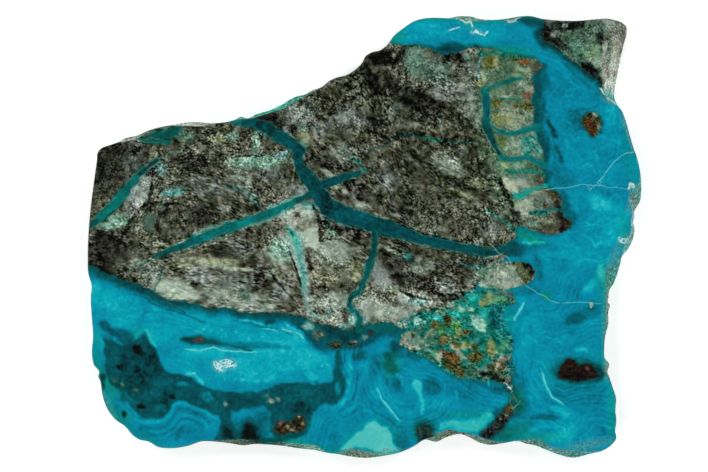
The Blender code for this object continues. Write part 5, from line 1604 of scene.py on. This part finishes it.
# The mesh laid out flat: the face, the back below it at a smaller scale, and
# the rim in four strips.
FACE_SCALE = 11.25
BACK_SCALE = 4.0
FACE_CORNER = (0.01, 0.27)
BACK_CORNER = (0.665, 0.004)
STRIPS = 4
STRIP_LENGTH = 0.64
STRIP_STEP = 0.0675
STRIP_WIDTH = 0.063
low = points[:, :2].min(axis=0)
face_uv = FACE_CORNER + (points[face_quads.ravel(), :2] - low) * FACE_SCALE
rim_column, rim_ring = np.meshgrid(np.arange(columns), np.arange(RIM_RINGS))
rim_column = np.stack([rim_column, rim_column + 1, rim_column + 1, rim_column], axis=-1)
rim_ring = np.stack([rim_ring, rim_ring, rim_ring + 1, rim_ring + 1], axis=-1)
strip = rim_column[..., :1] // (columns // STRIPS)
along = (rim_column - strip * (columns // STRIPS)) / (columns // STRIPS)
rim_uv = np.stack([along * STRIP_LENGTH, strip * STRIP_STEP + rim_ring / RIM_RINGS * STRIP_WIDTH], axis=-1)
back_loops = np.concatenate(back_faces)
back_uv = BACK_CORNER + (points[back_loops, :2] - low) * BACK_SCALE
flat_map = slab_mesh.uv_layers.new(name="OFBake")
flat_map.data.foreach_set("uv", np.concatenate([face_uv, rim_uv.reshape(-1, 2), back_uv]).ravel())


def give(name, kind, field, values):
    """Store a value per point under a name that the material can read."""
    store = slab_mesh.attributes.new(name, kind, "POINT")
    store.data.foreach_set(field, np.ascontiguousarray(values, dtype=np.float32).ravel())


def with_alpha(colours):
    """Colours with a fourth channel of 1."""
    return np.column_stack([np.clip(colours, 0, 2), np.ones(len(colours))])


turn = double_turn / 2
tap_gain = np.sqrt(1 + 0.30 * pull_length)
flow = np.column_stack([np.cos(turn), -np.sin(turn), np.zeros(len(turn))]) * (pull_length * PIXEL / GRAIN_TAPS)[:, None]
give("rock", "FLOAT", "value", rock)
give("rock_colour", "FLOAT_COLOR", "color", with_alpha(rock_colour))
give("speckle", "FLOAT", "value", speckle)
give("grain_gain", "FLOAT", "value", tap_gain)
give("flow", "FLOAT_VECTOR", "vector", flow)
give("depth", "FLOAT", "value", depth_of_blue)
give("green", "FLOAT", "value", greenness)
give("band_way", "FLOAT", "value", band_way)
give("band_strength", "FLOAT", "value", band_strength)
give("swirl", "FLOAT", "value", swirl)
give("crust", "FLOAT", "value", crust)
give("crust_colour", "FLOAT_COLOR", "color", with_alpha(crust_colour))
give("matt", "FLOAT", "value", matt)
give("hair_offset", "FLOAT", "value", hair_offset)
give("hair_width", "FLOAT", "value", hair_width)
give("hair_strength", "FLOAT", "value", hair_strength)
give("streaky", "FLOAT", "value", streaky)
give("flecks", "FLOAT", "value", flecks)
give("chipped", "FLOAT", "value", chip_cover)
give("hair_colour", "FLOAT_COLOR", "color", with_alpha(hair_colour))

paint = bpy.data.materials.new("stone")
paint.use_nodes = True
slab_mesh.materials.append(paint)


class Wire:
    """An output of the stone's nodes that can stand in a formula: an operator between two
    wires, or between a wire and a number, adds one Math node, or Vector Math for colours."""

    tree = paint.node_tree

    def __init__(self, socket):
        self.socket = socket
        self.wide = socket.type in ("VECTOR", "RGBA")

    @classmethod
    def node(cls, kind, settings=None, values=None, out=0):
        """A new node: its settings first, then a link or a value for each named input."""
        made = cls.tree.nodes.new("ShaderNode" + kind)
        for name, setting in (settings or {}).items():
            if name == "stops":
                made.color_ramp.elements.remove(made.color_ramp.elements[1])
                made.color_ramp.elements[0].position = 0.0
                for place_of_stop, colour in setting[1:]:
                    made.color_ramp.elements.new(place_of_stop / FULL_DEPTH)
                for element, (_, colour) in zip(made.color_ramp.elements, setting):
                    element.color = (*(channel / 255.0 for channel in colour), 1.0)
            else:
                setattr(made, name, setting)
        for name, value in (values or {}).items():
            if isinstance(value, Wire):
                cls.tree.links.new(value.socket, made.inputs[name])
            else:
                made.inputs[name].default_value = value
        return cls(made.outputs[out])

    @classmethod
    def read(cls, name, wide=False):
        """The value that the mesh stores under a name."""
        return cls.node("Attribute", {"attribute_name": name}, out=0 if wide else 2)

    def formula(self, operation, left, right):
        """One Math or Vector Math node with the given operation."""
        wide = any(isinstance(side, Wire) and side.wide or isinstance(side, tuple) for side in (left, right))
        values = {}
        for number, side in enumerate((left, right)):
            if wide and isinstance(side, (int, float)):
                side = (side, side, side)
            values[number] = side
        return Wire.node("VectorMath" if wide else "Math", {"operation": operation}, values)

    def __add__(self, other):
        return self.formula("ADD", self, other)

    def __sub__(self, other):
        return self.formula("SUBTRACT", self, other)

    def __mul__(self, other):
        return self.formula("MULTIPLY", self, other)

    def __truediv__(self, other):
        return self.formula("DIVIDE", self, other)

    def __rsub__(self, other):
        return self.formula("SUBTRACT", other, self)

    def __neg__(self):
        return self.formula("MULTIPLY", self, -1.0)

    __radd__ = __add__
    __rmul__ = __mul__

    def clamped(self):
        """The wire held between 0 and 1."""
        return Wire.node("Clamp", None, {"Value": self, "Min": 0.0, "Max": 1.0})

    def mixed(self, colour, share):
        """This colour with a share of another laid over it."""
        return Wire.node("Mix", {"data_type": "RGBA"}, {0: share, 6: self, 7: colour}, out=2)


def noise(position, size, octaves, shift=0.0, out=0):
    """Noise about 0 whose cells are the given number of pixels of the photograph wide."""
    moved = position + (shift, -shift, shift * 0.5)
    grain = Wire.node("TexNoise", None, {"Vector": moved, "Scale": 1 / (size * PIXEL), "Detail": octaves}, out=out)
    return grain - 0.5


here = Wire.node("TexCoord", out=3)
flow_here = Wire.read("flow", wide=True)

# Seams and hairlines: how far each point is from the line's middle, against a
# half width that comes and goes.
hair_gap = Wire.node("Math", {"operation": "ABSOLUTE"}, {0: Wire.read("hair_offset")})
hair_width = Wire.read("hair_width")
hair = (hair_width * (noise(here, 4.0, 2.0, shift=0.5) * 3.0 + 1.0) - hair_gap) * (1 / HAIR_SOFT) + 0.5
hair = hair.clamped() * Wire.read("hair_strength")
hair_shade = Wire.read("hair_colour", wide=True)

# Grains of the rock: the mean of a row of noise samples along the flow, over
# coarser patches that are drawn out and bent.
grain = 0.0
for tap in range(GRAIN_TAPS):
    grain = noise(here + flow_here * (tap - (GRAIN_TAPS - 1) / 2), GRAIN_SIZE, 1.0) + grain
bend = noise(here, WARP_SIZE, 1.0, shift=0.35, out=1) * (WARP * PIXEL)
coarse = noise(here + bend, COARSE_SIZE, 2.0, shift=0.3)
grain = grain * (1 / GRAIN_TAPS)
tint = noise(here, TINT_SIZE, 1.0, shift=0.7, out=1)
rock_here = Wire.read("rock_colour", wide=True).mixed(hair_shade, hair)
rock_shade = rock_here + tint * TINT_SHARE
busy = (noise(here + bend, BUSY_SIZE, 1.0, shift=0.65) * 3.5 + 0.55).clamped() + BUSY_LEAST
patches = noise(here + bend, PATCH_SIZE, 3.0, shift=0.35)
for way_off in (-PATCH_PULL, PATCH_PULL):
    patches = patches + noise(here + bend + flow_here * way_off, PATCH_SIZE, 3.0, shift=0.35)
patches = (patches * (PATCH_CONTRAST / 3) + 0.5).clamped() - 0.5
dark_specks = (noise(here + bend * 0.3, SPECK_SIZE, 2.0, shift=0.75) * 9.0 - 1.2).clamped()
pale_specks = (noise(here + bend * 0.3, SPECK_SIZE, 2.0, shift=0.95) * 9.0 - 1.5).clamped()
texture = (grain * busy * Wire.read("grain_gain") + coarse * COARSE_SHARE) * (1 / GRAIN_SPREAD)
texture = texture + patches * PATCH_SHARE - dark_specks * DARK_SPECKS + pale_specks * PALE_SPECKS
rock_shade = rock_shade + texture * Wire.read("speckle")

# Depth of the blue, with its bands, clouds and flecks.
swirl_here = Wire.read("swirl")
depth_here = Wire.read("depth")
way = Wire.read("band_way") * (1 - swirl_here) + noise(here, SWIRL_SIZE, 1.6, shift=0.15) * (swirl_here * SWIRL_TURNS + 1.2)
wave = Wire.node("Math", {"operation": "SINE"}, {0: way * (2 * math.pi)}) * 0.5 + 0.5
pale_line = wave * wave * wave - 0.3
slow_wave = Wire.node("Math", {"operation": "SINE"}, {0: way * (0.44 * 2 * math.pi)})
lively = (noise(here, 18.0, 1.0, shift=0.25) * 3.0 + 0.8).clamped()
bands = (pale_line * lively * LINE_SHARE + slow_wave * SLOW_SHARE) * Wire.read("band_strength") * BAND_SHARE
clouds = noise(here + bend * 0.6, CLOUD_SIZE, 3.0, shift=0.1) * CLOUD_SHARE
clouds = clouds + noise(here + bend * 0.5, FINE_CLOUD_SIZE, 2.0, shift=0.2) * FINE_CLOUD_SHARE
murk = ((4.4 - depth_here) * 0.4).clamped()
clouds = clouds + noise(here + bend, MURK_SIZE, 2.0, shift=0.05) * murk * MURK
steady = 1 - ((depth_here - 7.9) * 0.5).clamped() * 0.65
level = depth_here + grain * Wire.read("streaky") * VEIN_STREAKS + (bands + clouds) * steady
fleck = (noise(here + bend * 0.4, 4.4, 1.0, shift=0.45) * 9.0 - 0.9).clamped() * Wire.read("flecks")
level = (level + fleck * 1.7) * (1 / FULL_DEPTH)
blue_shade = Wire.node("ValToRGB", {"stops": BLUE_STOPS}, {"Fac": level})
green_shade = Wire.node("ValToRGB", {"stops": GREEN_STOPS}, {"Fac": level})
blue_shade = blue_shade.mixed(green_shade, Wire.read("green")).mixed(hair_shade, hair)

edge = noise(here, EDGE_SIZE, 2.0, shift=0.4) * EDGE_ROUGH
in_rock = ((Wire.read("rock") + edge) * (1 / EDGE_WIDTH) + 0.5).clamped()
shade = blue_shade.mixed(rock_shade, in_rock)

# Painted highlight in the chips: white glints laid over partly pale broken stone; and the crust of the rim with its own
# grain.
split = Wire.node("Math", {"operation": "ABSOLUTE"}, {0: noise(here + bend * 0.3, 3.4, 1.0, shift=0.55)})
glint = (Wire.read("chipped") * 2.0 - 0.4 - split * 9.0).clamped()
shade = shade.mixed((*CHIP_WHITE_AND_GLINT, 1.0), glint * 0.9)
crust_grain = noise(here, 2.2, 2.0, shift=0.6)
crust_shade = Wire.read("crust_colour", wide=True) + (grain * Wire.read("speckle") + crust_grain * CRUST_GRAIN * 0.5) * (1 / GRAIN_SPREAD)
crust_here = (Wire.read("crust") * 1.3 + noise(here, 5.0, 2.0, shift=0.8) * 0.8).clamped() * Wire.read("matt")
shade = shade.mixed(crust_shade, crust_here)

in_range = Wire.node("VectorMath", {"operation": "MAXIMUM"}, {0: shade, 1: (0.012, 0.012, 0.012)})
seen = (in_range + GAMMA_TOE) * (1 / (1 + GAMMA_TOE))
light = Wire.node("Gamma", None, {"Color": seen, "Gamma": GAMMA}) * BRIGHTNESS
matt_here = Wire.read("matt")
rough = matt_here * (RIM_ROUGHNESS - FACE_ROUGHNESS) + FACE_ROUGHNESS
bumps = noise(here, 3.0, 3.0, shift=0.9) * matt_here
stone_shader = paint.node_tree.nodes["Principled BSDF"]
relief = Wire.node("Bump", None, {"Strength": 1.0, "Distance": CRUST_BUMP, "Height": bumps})
stone_shader.inputs["Specular IOR Level"].default_value = 0.25
for name, wire in (("Base Color", light), ("Roughness", rough), ("Normal", relief)):
    paint.node_tree.links.new(wire.socket, stone_shader.inputs[name])

slab = bpy.data.objects.new("slab_stone", slab_mesh)
bpy.context.scene.collection.objects.link(slab)
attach(slab, "root")
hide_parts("slab")
